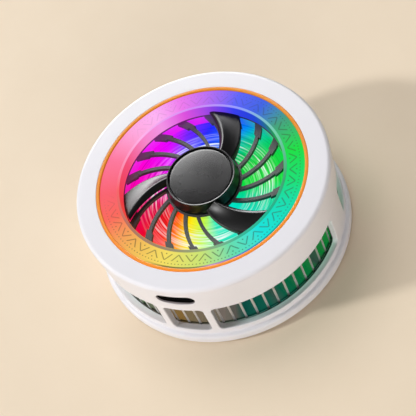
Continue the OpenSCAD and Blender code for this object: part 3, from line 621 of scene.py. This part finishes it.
# By direction: the colour wheel, how far it leans with the radius (0.5 is straight, 1 is LEAN_MAX
# degrees more per millimetre) and how much the white arcs, painted highlights, show
DISC_HUES = (
    (0, (0, 214, 150)), (18, (0, 220, 60)), (44, (0, 208, 60)), (60, (0, 200, 108)), (74, (0, 196, 165)),
    (86, (0, 130, 240)), (96, (0, 85, 245)), (112, (15, 40, 245)), (130, (110, 40, 250)),
    (146, (225, 0, 250)), (172, (245, 0, 200)), (196, (225, 0, 95)), (216, (230, 0, 38)),
    (234, (244, 20, 5)), (247, (255, 118, 0)), (261, (255, 226, 0)), (276, (196, 245, 60)),
    (294, (40, 235, 190)), (330, (0, 225, 205)), (360, (0, 214, 150)),
)
DISC_TWIST = (
    (0, 0.5), (60, 0.69), (100, 0.75), (150, 0.75), (190, 0.56), (205, 0.38), (230, 0.21), (254, 0.31),
    (280, 0.5), (360, 0.5),
)
ARC_HIGHLIGHT_SHOW = ((0, 1), (185, 0.9), (205, 0.45), (245, 0.5), (270, 0.9), (360, 1))


def lit_acrylic():
    """Clear plastic lit from its edge: hues by direction, fine rings and painted white highlight arcs round
    the axis.
    """
    made, tree, shader = new_material(
        "lit_acrylic", Roughness=0.2, Specular_IOR_Level=0.2, Emission_Strength=1.0)
    where = place_group(tree, polar_tree)
    leaning = turn_levels(tree, where["Turn"], DISC_TWIST)
    lean = math_node(tree, "MULTIPLY_ADD", leaning, 2 * LEAN_MAX / 360, -LEAN_MAX / 360)
    twist = math_node(tree, "MULTIPLY", math_node(tree, "SUBTRACT", where["Radius"], WHEEL_R), lean)
    turned = math_node(tree, "ADD", math_node(tree, "ADD", where["Turn"], twist), 1)
    hue = turn_colours(tree, math_node(tree, "FRACT", turned), DISC_HUES)
    broad = place_group(tree, ring_marks_tree, Across=0.5, Along=1.1)["Marks"]
    fine = place_group(tree, ring_marks_tree, Across=2.2, Along=1.2)["Marks"]
    # Painted highlight: white arcs round the axis near ARC_R, stronger in some directions.
    from_arcs = math_node(tree, "ABSOLUTE", math_node(tree, "SUBTRACT", where["Radius"], ARC_R))
    near_arcs = spread(tree, from_arcs, 1, 0, 1.2, 5)
    arc_highlight_streaks = math_node(
        tree, "MULTIPLY", spread(tree, broad, 0.3, 1, 0.4, 0.56), spread(tree, fine, 0, 1, 0.46, 0.6))
    shade = blend_colours(tree, spread(tree, fine, 0.35, 0, 0.3, 0.44), hue, (0.0, 0.0, 0.0))
    shown = math_node(tree, "MULTIPLY", near_arcs, turn_levels(tree, where["Turn"], ARC_HIGHLIGHT_SHOW))
    white = math_node(tree, "MULTIPLY", arc_highlight_streaks, shown)
    join(tree, blend_colours(tree, white, shade, (0.86, 0.93, 0.93)), shader.inputs["Emission Color"])
    join(tree, blend_colours(tree, 0.9, hue, (0.02, 0.02, 0.02)), shader.inputs["Base Color"])
    bump(tree, shader, fine, 0.03)
    return made


dress(lit_acrylic(), "light_disc")


# Fan frame: black moulding with eighteen curved spokes that carry the motor's dish.
# Four screws hold it up against the cover with the ring board between.
def black_plastic(name, light, dark, rough, **settings):
    """Black moulding with a fine grain and uneven sheen."""
    return moulded(name, light, dark, rough, 3600, 0.003, **settings)


FRAME_RING_R = 21.3
frame_ring_top = size_of("light_ring")[1]

# By direction: a painted glow for the disc's light on the frame's ring, and how much of it is painted on
# the spoke ends
RIM_GLOW_HUES = (
    (0, (0, 200, 120)), (40, (10, 200, 70)), (60, (0, 175, 170)), (76, (0, 100, 245)), (92, (70, 30, 250)),
    (108, (225, 0, 250)), (150, (250, 0, 250)), (188, (240, 0, 170)), (208, (235, 0, 60)),
    (230, (255, 60, 0)), (260, (255, 225, 0)), (300, (0, 225, 205)), (360, (0, 200, 120)),
)
END_GLOW = ((0, 0), (70, 0), (100, 0.12), (190, 0.12), (210, 0), (360, 0))


def frame_black():
    """The frame's black, with a painted glow for the disc's light on its ring's wall and on the far spoke
    ends.
    """
    made = black_plastic(
        "frame_black", (0.07, 0.073, 0.076), (0.058, 0.06, 0.063), 0.5,
        Specular_IOR_Level=0.2, Emission_Strength=0.9)
    tree = made.node_tree
    where = place_group(tree, polar_tree)
    hue = turn_colours(tree, where["Turn"], RIM_GLOW_HUES)
    # Painted glow: the disc's light on the ring's wall and on the far spoke ends.
    wall = math_node(tree, "GREATER_THAN", where["Radius"], FRAME_RING_R - 0.05)
    below = math_node(tree, "LESS_THAN", where["Height"], frame_ring_top - 0.3)
    outward = spread(tree, where["Radius"], 0, 1, FRAME_RING_R - 4, FRAME_RING_R)
    on_ends = math_node(tree, "MULTIPLY", outward, turn_levels(tree, where["Turn"], END_GLOW))
    painted_glow_mask = math_node(tree, "MAXIMUM", math_node(tree, "MULTIPLY", wall, below), on_ends)
    shader = tree.nodes["Principled BSDF"]
    join(tree, blend_colours(tree, painted_glow_mask, (0.0, 0.0, 0.0), hue), shader.inputs["Emission Color"])
    return made


dress(frame_black(), "fan_frame")


# Motor: a small outrunner in the dish, with a steel stator, copper coils and a circuit board.
# The shaft runs in a sintered bronze sleeve on a slippery thrust pad.
solder_mask = moulded("solder_mask", (0.02, 0.16, 0.08), (0.015, 0.12, 0.06), 0.35, 2200, 0.01)
dress(solder_mask, "motor_board", "led_board")
motor_steel = worn_metal("motor_steel", (0.55, 0.55, 0.57), (0.42, 0.42, 0.44), 0.35)
dress(motor_steel, "stator_core", "rotor_yoke", "rotor_shaft")
dress(worn_metal("copper_wire", (0.72, 0.33, 0.17), (0.55, 0.24, 0.12), 0.35, 1800), "stator_coils")
dress(worn_metal("sintered_bronze", (0.6, 0.42, 0.2), (0.5, 0.34, 0.16), 0.5, 5000), "motor_bearing")
dress(moulded("slippery_nylon", (0.75, 0.73, 0.66), (0.7, 0.68, 0.6), 0.4), "thrust_pad")
dress(moulded("ferrite", (0.05, 0.05, 0.055), (0.035, 0.035, 0.04), 0.6, 4200, 0.02), "rotor_magnet")


# Fan: hub cup and three swept blades in one black moulding, pressed onto the shaft.
# Each blade is hollow up to a crest, then rounds down over a thick leading edge.
HUB_R, HUB_FOOT_R, HUB_RIM_T, YOKE_R, SHAFT_R = 8.95, 9.45, 0.4, 8.45, 1
CAP_T, WEB_T, RIM_BEVEL = 0.8, 0.5, 0.1
BLADES, BLADE_TURN, BLADE_SWEEP, BLADE_ROWS = 3, 47.5, 2.3, 28
BLADE_IN_R, BLADE_OUT_R, BLADE_SEAT = 8.75, 21.05, 0.5
ROOT_WIDTH, TIP_WIDTH, ROOT_CREST, TIP_CREST = 27.5, 23, 0.68, 0.86
ROOT_RISE, TIP_RISE, ROOT_LIFT, TIP_LIFT, EDGE_T, TIP_ROUND = 2, 0.7, 0.6, 0.4, 0.6, 0.2
HOLLOW_POWER, NOSE_POWER, CREST_SOFTENING = 1.5, 1.4, 0.12
run_level, hub_top = size_of("impeller")[1:]
cap_seat = hub_top - CAP_T
web_low = cap_seat - WEB_T
blade_low = run_level + BLADE_SEAT


def blade_loop(radius, inset):
    """Section of a blade at a radius, as points (turn in degrees, height), drawn in by an inset."""
    u = (radius - BLADE_IN_R) / (BLADE_OUT_R - BLADE_IN_R)
    width = math.radians(ROOT_WIDTH + (TIP_WIDTH - ROOT_WIDTH) * u) * radius
    crest = ROOT_CREST + (TIP_CREST - ROOT_CREST) * u
    rise = ROOT_RISE + (TIP_RISE - ROOT_RISE) * u
    lift = ROOT_LIFT + (TIP_LIFT - ROOT_LIFT) * u

    def top(s):
        t = min(max(s / width, 0), 1)
        nose = max(0, t - crest) / (1 - crest)
        climb = rise * min(1, t / crest) ** HOLLOW_POWER
        return blade_low + EDGE_T + climb - (rise - lift) * nose ** NOSE_POWER

    def softened_top(s):
        return sum(top(s + k * CREST_SOFTENING) for k in range(-2, 3)) / 5

    half = EDGE_T / 2

    def edge(s, z, first_angle):
        arc = []
        for k in range(5):
            angle = math.radians(first_angle - 45 * k)
            arc.append((s + (half - inset) * math.cos(angle), z + (half - inset) * math.sin(angle)))
        return arc

    points = edge(half, blade_low + half, 270)
    face_steps = 40
    for k in range(1, face_steps):
        s = half + (width - EDGE_T) * k / face_steps
        points.append((s, softened_top(s) - inset))
    points += edge(width - half, blade_low + lift + half, 90)
    under_steps = 12
    for k in range(1, under_steps):
        s = width - half - (width - EDGE_T) * k / under_steps
        points.append((s, blade_low + lift * s / width + inset))
    sweep = BLADE_SWEEP * (radius - BLADE_IN_R)
    return [(sweep + math.degrees(s / radius), z) for s, z in points]


fan_shape = bmesh.new()
add_lathe(fan_shape, rounded([
    (SHAFT_R, web_low, 0),
    (YOKE_R, web_low, 0.1),
    (YOKE_R, run_level, 0),
    (HUB_FOOT_R, run_level, 0.12),
    (HUB_FOOT_R - 0.05, run_level + CAP_T, 0.5),
    (HUB_R, cap_seat, 0.5),
    (HUB_R, hub_top, 0.08),
    (HUB_R - HUB_RIM_T, hub_top - RIM_BEVEL, 0.04),
    (HUB_R - HUB_RIM_T, cap_seat, 0),
    (SHAFT_R, cap_seat, 0),
]))
row_span = BLADE_OUT_R - TIP_ROUND - BLADE_IN_R
rows = [(BLADE_IN_R + row_span * k / BLADE_ROWS, 0) for k in range(BLADE_ROWS + 1)]
shoulder = 0.3 * TIP_ROUND
rows += [(BLADE_OUT_R - shoulder, shoulder), (BLADE_OUT_R, TIP_ROUND)]
for blade in range(BLADES):
    start = BLADE_TURN + blade * 360 / BLADES
    loops = []
    for radius, inset in rows:
        loop = []
        for turn, z in blade_loop(radius, inset):
            angle = math.radians(start + turn)
            x, y = radius * math.cos(angle), radius * math.sin(angle)
            loop.append(fan_shape.verts.new((x * MM, y * MM, z * MM)))
        loops.append(loop)
    for inner, outer in zip(loops, loops[1:]):
        for i in range(len(inner)):
            j = (i + 1) % len(inner)
            fan_shape.faces.new((inner[i], inner[j], outer[j], outer[i]))
    ends = [fan_shape.faces.new(loops[0][::-1]), fan_shape.faces.new(loops[-1])]
    bmesh.ops.triangulate(fan_shape, faces=ends)
fan = make_piece("fan_moulding", fan_shape, "rotor", "black_plastic", "impeller", sharp=50)
fan.data.materials.append(black_plastic(
    "fan_black", (0.003, 0.003, 0.0035), (0.002, 0.002, 0.0025), 0.35, Specular_IOR_Level=0.37))


# Hub cap: satin black disc, slightly crowned, glued into the hub's rim.
# A narrow groove round it shows the rim as a bright circle.
CAP_CROWN, CAP_EDGE, CAP_BEVEL, CROWN_STEPS = 0.3, 0.25, 0.1, 16
cap_r, cap_low, cap_top = size_of("hub_cap")
crown_r = cap_r - CAP_EDGE
cap_outline = [
    Vector((0, cap_low)), Vector((cap_r - CAP_BEVEL, cap_low)), Vector((cap_r, cap_low + CAP_BEVEL)),
]
cap_outline += rounded([
    (cap_r, cap_low, 0), (cap_r, cap_top - CAP_CROWN, CAP_EDGE), (0, cap_top - CAP_CROWN, 0),
])[1:-1]
for k in range(1, CROWN_STEPS + 1):
    r = crown_r * (1 - k / CROWN_STEPS)
    cap_outline.append(Vector((r, cap_top - CAP_CROWN * (r / crown_r) ** 2)))
cap = turned_piece("hub_cap_disc", cap_outline, "rotor", "cap_plastic", "hub_cap")
cap.data.materials.append(black_plastic(
    "cap_black", (0.005, 0.005, 0.006), (0.004, 0.004, 0.005), 0.26, Specular_IOR_Level=0.58))


# Ring board: green circuit board with a circle of lights and the driver chips on it.
# The lights shine up into the milky ring.
dress(moulded("light_package", (0.85, 0.84, 0.78), (0.8, 0.78, 0.7), 0.3), "rgb_leds")
chip_black = moulded("chip_black", (0.03, 0.03, 0.032), (0.02, 0.02, 0.022), 0.55, 3000, 0.01)
dress(chip_black, "board_chips", "usb_tongue")


# Power socket: steel sleeve round a black tongue, soldered into the board's notch.
# Twelve gilt contacts lie on each side of the tongue.
# Painted shade: the sleeve is coloured near black for the dark inside the slot.
dress(worn_metal("socket_steel", (0.03, 0.03, 0.032), (0.02, 0.02, 0.022), 0.45), "usb_shell")
CONTACTS, CONTACT_PITCH, CONTACT_W, CONTACT_LEN, CONTACT_T = 12, 0.5, 0.26, 3, 0.03
CONTACT_BACK, CONTACT_SINK, TONGUE_T = 0.35, 0.02, 0.7
tongue_low, tongue_high = [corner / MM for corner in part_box("usb_tongue")]
tongue_middle = (tongue_low.z + tongue_high.z) / 2
contact_shape = bmesh.new()
for face in (-1, 1):
    for k in range(CONTACTS):
        x = (k - (CONTACTS - 1) / 2) * CONTACT_PITCH
        y = tongue_low.y + CONTACT_BACK
        foot = tongue_middle + face * (TONGUE_T / 2 - CONTACT_SINK)
        crown = tongue_middle + face * (TONGUE_T / 2 + CONTACT_T)
        lower = [(x - CONTACT_W / 2, y), (x + CONTACT_W / 2, y),
                 (x + CONTACT_W / 2, y + CONTACT_LEN), (x - CONTACT_W / 2, y + CONTACT_LEN)]
        upper = [(x + 0.7 * (px - x), y + 0.08 + (py - y) * 0.95) for px, py in lower]
        feet = [contact_shape.verts.new((px * MM, py * MM, foot * MM)) for px, py in lower]
        tops = [contact_shape.verts.new((px * MM, py * MM, crown * MM)) for px, py in upper]
        contact_shape.faces.new(feet[::-1])
        contact_shape.faces.new(tops)
        for i in range(4):
            j = (i + 1) % 4
            contact_shape.faces.new((feet[i], feet[j], tops[j], tops[i]))
contacts = make_piece("socket_contacts", contact_shape, "case", "bronze")
contacts.data.materials.append(worn_metal("gilt_contact", (0.9, 0.62, 0.25), (0.78, 0.52, 0.2), 0.3))


# Light ring: milky moulding round the bore, lit from below by the ring board.
# A zigzag band with dots is printed on its face, and a greyer lip with a painted highlight runs round the
# bore.
BORE_R, GUIDE_R, RING_T, LIP_W, LIP_H, EDGE_W, FIT_GAP = 21.45, 22.55, 1.3, 0.85, 0.2, 0.5, 0.02
ring_r, bore_low, lip_top = size_of("light_ring")
ring_top = lip_top - LIP_H
light_ring = turned_piece("light_ring_guide", rounded([
    (BORE_R, bore_low, 0.1),
    (GUIDE_R, bore_low, 0),
    (GUIDE_R, ring_top - RING_T, 0),
    (ring_r - FIT_GAP, ring_top - RING_T, 0),
    (ring_r - FIT_GAP, ring_top, 0.15),
    (BORE_R + LIP_W, ring_top, 0.08),
    (BORE_R + 0.8 * LIP_W, lip_top, 0.1),
    (BORE_R + 0.2 * LIP_W, lip_top, 0.1),
    (BORE_R, ring_top, 0.12),
]), "case", "light_guide", "light_ring", segments=360)

# By direction: the colour wheel, with a painted sheen that pales it at 134 to 150 degrees, and how clearly
# the print shows, faded by that sheen
RING_HUES_AND_SHEEN = (
    (0, (6, 218, 115)), (22, (6, 218, 62)), (45, (60, 155, 122)), (63, (52, 92, 222)), (80, (84, 92, 242)),
    (95, (160, 98, 236)), (116, (230, 112, 230)), (134, (246, 172, 236)), (150, (248, 160, 214)),
    (172, (246, 112, 150)), (196, (243, 92, 106)), (214, (243, 100, 86)), (240, (236, 180, 84)),
    (262, (240, 218, 95)), (284, (198, 223, 112)), (302, (100, 216, 168)), (322, (2, 222, 216)),
    (345, (2, 216, 170)), (360, (6, 218, 115)),
)
PRINT_SHOW = (
    (0, 1), (50, 0.9), (72, 0.4), (95, 0.28), (140, 0.2), (160, 0), (196, 0), (220, 0.7), (236, 1),
    (360, 1),
)


def chevron_group():
    """Group for a printed band: chevrons that point in and out by turns, dots, and a dotted row."""
    tree, put, out = node_group(
        "chevron_print",
        {"Turn": 0, "Radius": 24, "Pairs": 22, "Inner": 23.0, "Height": 1.9, "Stroke": 0.15, "Row": 25.65},
        ("Ink",),
    )
    get = put.outputs
    cell_count = math_node(tree, "MULTIPLY", get["Pairs"], 2)
    cell = math_node(tree, "ADD", math_node(tree, "MULTIPLY", get["Turn"], cell_count), 0.5)
    cell_width = math_node(tree, "DIVIDE", math_node(tree, "MULTIPLY", get["Radius"], math.tau), cell_count)
    offset = math_node(tree, "ABSOLUTE", math_node(tree, "SUBTRACT", math_node(tree, "FRACT", cell), 0.5))
    odd = math_node(tree, "MULTIPLY", math_node(tree, "FRACT", math_node(
        tree, "DIVIDE", math_node(tree, "FLOOR", cell), 2)), 2)
    above_inner = math_node(tree, "SUBTRACT", get["Radius"], get["Inner"])
    rise = math_node(tree, "DIVIDE", above_inner, get["Height"])
    flip = math_node(tree, "SUBTRACT", 1, rise)
    turned_over = math_node(tree, "MULTIPLY", odd, math_node(tree, "SUBTRACT", rise, flip))
    open_end = math_node(tree, "ADD", flip, turned_over)
    from_arm = math_node(tree, "MULTIPLY", cell_width, math_node(
        tree, "ABSOLUTE", math_node(tree, "SUBTRACT", offset, math_node(tree, "MULTIPLY", open_end, 0.45))))
    arm = math_node(tree, "LESS_THAN", math_node(tree, "MULTIPLY", from_arm, 0.77), get["Stroke"])
    within = math_node(tree, "LESS_THAN", math_node(
        tree, "ABSOLUTE", math_node(tree, "SUBTRACT", rise, 0.5)), 0.5)
    stroke = math_node(tree, "MULTIPLY", arm, within)

    def dot(across, up, size):
        squares = [math_node(tree, "POWER", part, 2) for part in (across, up)]
        return math_node(tree, "LESS_THAN", math_node(tree, "SQRT", math_node(tree, "ADD", *squares)), size)

    inner_dot = dot(
        math_node(tree, "MULTIPLY", offset, cell_width),
        math_node(tree, "MULTIPLY", math_node(tree, "SUBTRACT", open_end, 0.95), get["Height"]), 0.2)
    row_count = math_node(tree, "MULTIPLY", get["Pairs"], 8)
    row_step = math_node(tree, "SUBTRACT", math_node(tree, "FRACT", math_node(
        tree, "MULTIPLY", get["Turn"], row_count)), 0.5)
    row_width = math_node(tree, "DIVIDE", math_node(tree, "MULTIPLY", get["Row"], math.tau), row_count)
    row_dot = dot(
        math_node(tree, "MULTIPLY", row_step, row_width),
        math_node(tree, "SUBTRACT", get["Radius"], get["Row"]), 0.17)
    ink = math_node(tree, "MAXIMUM", math_node(tree, "MAXIMUM", stroke, inner_dot), row_dot)
    join(tree, ink, out.inputs["Ink"])
    return tree


# By direction: the outer edge's painted shade and sheen on the near side, where they show, and the lip's
# colours, partly a painted highlight
EDGE_SHADE_HUES = (
    (250, (170, 140, 70)), (264, (112, 104, 52)), (282, (112, 124, 64)), (289, (196, 120, 190)),
    (300, (112, 84, 192)), (311, (60, 92, 190)), (321, (0, 122, 134)), (345, (0, 150, 110)),
)
EDGE_SHADE_SHOW = ((0, 0), (250, 0), (264, 0.9), (330, 0.8), (348, 0), (360, 0))
LIP_HUES_AND_HIGHLIGHT = (
    (0, (60, 160, 110)), (40, (110, 205, 165)), (75, (140, 152, 246)), (112, (208, 132, 240)),
    (150, (250, 175, 230)), (195, (242, 96, 100)), (228, (168, 112, 92)), (262, (152, 136, 106)),
    (285, (148, 166, 116)), (310, (50, 180, 150)), (335, (20, 176, 140)), (360, (60, 160, 110)),
)


def milky_light_guide():
    """Milky plastic that glows in a colour wheel, with the printed band, a painted sheen, painted shade on
    its edge and a painted lip highlight.
    """
    made, tree, shader = new_material(
        "milky_light_guide", Roughness=0.34, Emission_Strength=0.97, Specular_IOR_Level=0.015)
    where = place_group(tree, polar_tree)
    hue = turn_colours(tree, where["Turn"], RING_HUES_AND_SHEEN)
    print_mask = place_group(tree, chevron_group(), Turn=where["Turn"], Radius=where["Radius"])["Ink"]
    shown = turn_levels(tree, where["Turn"], PRINT_SHOW)
    printed = blend_colours(
        tree, math_node(tree, "MULTIPLY", math_node(tree, "MULTIPLY", print_mask, shown), 0.6),
        hue, (0.03, 0.04, 0.03))
    deep = tree.nodes.new("ShaderNodeGamma")
    deep.inputs["Gamma"].default_value = 1.4
    tree.links.new(hue, deep.inputs["Color"])
    on_wall = spread(tree, where["Radius"], 1, 0, BORE_R + 0.06, BORE_R + 0.14)
    # The lip's colours are greyer than the face and partly a painted highlight.
    on_lip = math_node(tree, "GREATER_THAN", where["Height"], ring_top + 0.03)
    lip = turn_colours(tree, where["Turn"], LIP_HUES_AND_HIGHLIGHT)
    # Painted shade and sheen on the outer edge of the near side.
    at_edge = math_node(tree, "GREATER_THAN", where["Radius"], ring_r - EDGE_W)
    edge_shade_show = turn_levels(tree, where["Turn"], EDGE_SHADE_SHOW)
    edge = turn_colours(tree, where["Turn"], EDGE_SHADE_HUES)
    face = blend_colours(tree, math_node(tree, "MULTIPLY", at_edge, edge_shade_show), printed, edge)
    glow = blend_colours(tree, on_wall, blend_colours(tree, on_lip, face, lip), deep.outputs["Color"])
    join(tree, glow, shader.inputs["Emission Color"])
    join(tree, blend_colours(tree, 0.93, glow, (0.01, 0.01, 0.01)), shader.inputs["Base Color"])
    return made


light_ring.data.materials.append(milky_light_guide())


# Accent ring: thin orange band let into the cover round the light ring.
# It is a glossy moulding with softly rounded edges.
ACCENT_IN = 26.87
accent_r, accent_low, accent_top = size_of("accent_ring")
accent = turned_piece("accent_ring_band", rounded([
    (ACCENT_IN, accent_low, 0),
    (accent_r - FIT_GAP, accent_low, 0),
    (accent_r - FIT_GAP, accent_top, 0.15),
    (ACCENT_IN, accent_top, 0.2),
]), "case", "accent_plastic", "accent_ring", segments=360)

# By direction: how far painted shade darkens the orange
ACCENT_SHADE = ((0, 0.5), (60, 0.8), (180, 0.8), (225, 0.2), (260, 0), (310, 0), (360, 0.5))


def accent_orange():
    """Glossy orange with a faint painted glow, darker on the far side by painted shade."""
    # The faint orange emission is a painted glow.
    made = moulded(
        "accent_orange", (0.88, 0.26, 0.01), (0.85, 0.23, 0.009), 0.3, 5000, 0.004,
        Specular_IOR_Level=0.2, Emission_Color=(1.0, 0.3, 0.01, 1), Emission_Strength=0.1)
    tree = made.node_tree
    shader = tree.nodes["Principled BSDF"]
    # Painted shade: the orange darkens on the far side.
    far_side_shade = turn_levels(tree, place_group(tree, polar_tree)["Turn"], ACCENT_SHADE)
    near = shader.inputs["Base Color"].links[0].from_socket
    join(tree, blend_colours(tree, far_side_shade, near, (0.6, 0.22, 0.008)), shader.inputs["Base Color"])
    return made


accent.data.materials.append(accent_orange())


# Top cover: white moulded cap with a rounded edge, screwed on from inside.
# Its slot lets a plug reach the power socket.
SKIRT_T, COVER_EDGE, SEAT_W, SEAT_LOW, ROOF_LOW = 1.1, 1.1, 1, 24.8, 23.6
SLOT_W, SLOT_H, SLOT_MIDDLE, SLOT_LIP = 10.04, 3.86, 21.3, 0.22
# Depths in the slot where painted shade and then painted shadow begin.
SLOT_SHADE_START, SLOT_SHADOW_START = 0.1, 0.5
cover_r, cover_low, cover_top = size_of("top_cover")
cover_low_r = wall_r
cover = turned_piece("top_cover_cap", rounded([
    (cover_low_r - SKIRT_T, cover_low, 0.12),
    (cover_low_r, cover_low, 0.15),
    (cover_r, cover_top, COVER_EDGE),
    (accent_r + FIT_GAP / 2, cover_top, 0.12),
    (accent_r + FIT_GAP / 2, SEAT_LOW, 0),
    (ring_r - SEAT_W, SEAT_LOW, 0),
    (ring_r - SEAT_W, ROOF_LOW, 0.1),
    (cover_low_r - 2 * SKIRT_T, ROOF_LOW, 0.5),
    (cover_low_r - SKIRT_T, ROOF_LOW - SKIRT_T, 0.5),
]), "case", "white_plastic", "top_cover", segments=360)


def slot_place(across_slot, up, depth):
    """Point of the slot's cutter, measured in from the leaning skirt."""
    skirt_r = cover_low_r + (cover_r - cover_low_r) * (up - cover_low) / (cover_top - cover_low)
    return Vector((across_slot, -(math.sqrt(skirt_r ** 2 - across_slot ** 2) - depth), up))


half_w, half_h = SLOT_W / 2, SLOT_H / 2
slot_low, slot_high = SLOT_MIDDLE - half_h, SLOT_MIDDLE + half_h
slot_corners = [(-half_w, slot_low), (half_w, slot_low), (half_w, slot_high), (-half_w, slot_high)]
slot_fillet = half_h - 0.01
slot_outline = rounded([(x, z, slot_fillet) for x, z in slot_corners], 10)
cut_openings(cover, [lipped_cutter(slot_outline, slot_place, SLOT_LIP, 3)])


def cover_white():
    """The white moulding; the slot's walls carry painted grey shade behind the rim and painted black shadow
    further in.
    """
    made = white_plastic("cover_white", Specular_IOR_Level=0.14)
    tree = made.node_tree
    shader = tree.nodes["Principled BSDF"]
    where = place_group(tree, polar_tree)
    aside = math_node(tree, "ABSOLUTE", math_node(tree, "SUBTRACT", where["Turn"], 0.75))
    aloft = math_node(tree, "ABSOLUTE", math_node(tree, "SUBTRACT", where["Height"], SLOT_MIDDLE))
    by_slot = math_node(
        tree, "MULTIPLY", math_node(tree, "LESS_THAN", aside, SLOT_W / cover_r / math.tau),
        math_node(tree, "LESS_THAN", aloft, half_h + SLOT_LIP))
    lean = (cover_r - cover_low_r) / (cover_top - cover_low)
    face_r = math_node(tree, "MULTIPLY_ADD", where["Height"], lean, cover_low_r - cover_low * lean)
    depth = math_node(tree, "SUBTRACT", face_r, where["Radius"])
    # Painted shade: the slot's walls turn grey just behind the rim.
    slot_shade_depth = spread(tree, depth, 0, 1, SLOT_SHADE_START, SLOT_SHADE_START + 0.08)
    slot_shade = math_node(tree, "MULTIPLY", by_slot, slot_shade_depth)
    # Painted shadow: deeper in, the slot's walls turn near black.
    blackened = spread(tree, depth, 0, 1, SLOT_SHADOW_START, SLOT_SHADOW_START + 0.1)
    black = math_node(tree, "MULTIPLY", by_slot, blackened)
    white = shader.inputs["Base Color"].links[0].from_socket
    shaded = blend_colours(tree, slot_shade, white, (0.34, 0.3, 0.315))
    join(tree, blend_colours(tree, black, shaded, (0.004, 0.004, 0.004)), shader.inputs["Base Color"])
    return made


cover.data.materials.append(cover_white())


# Floor and light: plain warm floor, a key light from the left with a wide soft halo, a card behind
# that shows only in the black parts, a low fill from the front and pale surroundings.
floor_shape = bmesh.new()
bmesh.ops.create_grid(floor_shape, x_segments=1, y_segments=1, size=3)
floor_mesh = bpy.data.meshes.new("floor")
floor_shape.to_mesh(floor_mesh)
floor_shape.free()
floor = bpy.data.objects.new("floor", floor_mesh)
bpy.context.collection.objects.link(floor)
floor.data.materials.append(moulded(
    "floor_paper", (0.86, 0.73, 0.565), (0.85, 0.72, 0.555), 0.8, 800, 0.02, Specular_IOR_Level=0.1))


def soft_light(name, turn, height, distance, width, watts, colour=(1, 1, 1)):
    """Square soft box that faces the cooler, placed by its direction round the fan's axis."""
    lamp = bpy.data.objects.new(name, bpy.data.lights.new(name, "AREA"))
    lamp.data.size = width * MM
    lamp.data.energy = watts
    lamp.data.color = colour
    flat, rise = math.radians(turn), math.radians(height)
    toward = Vector((math.cos(flat) * math.cos(rise), math.sin(flat) * math.cos(rise), math.sin(rise)))
    lamp.location = toward * distance * MM
    lamp.rotation_euler = toward.to_track_quat("Z", "Y").to_euler()
    lamp.visible_camera = False
    bpy.context.collection.objects.link(lamp)
    return lamp


soft_light("key", 205, 32, 3000, 260, 44)
halo = soft_light("halo", 138, 63, 900, 650, 4.1)
halo.visible_glossy = False
card = soft_light("card", 122, 20.5, 700, 560, 16)
card.visible_diffuse = False
fill = soft_light("fill", 296, 14, 900, 600, 4.3, (1, 0.97, 0.95))
fill.visible_glossy = False
world = bpy.data.worlds.new("surroundings")
bpy.context.scene.world = world
world.use_nodes = True
sky = world.node_tree.nodes["Background"]
sky.inputs["Color"].default_value = (1, 0.95, 0.91, 1)
sky.inputs["Strength"].default_value = 0.18
bpy.context.scene.view_settings.view_transform = "Standard"
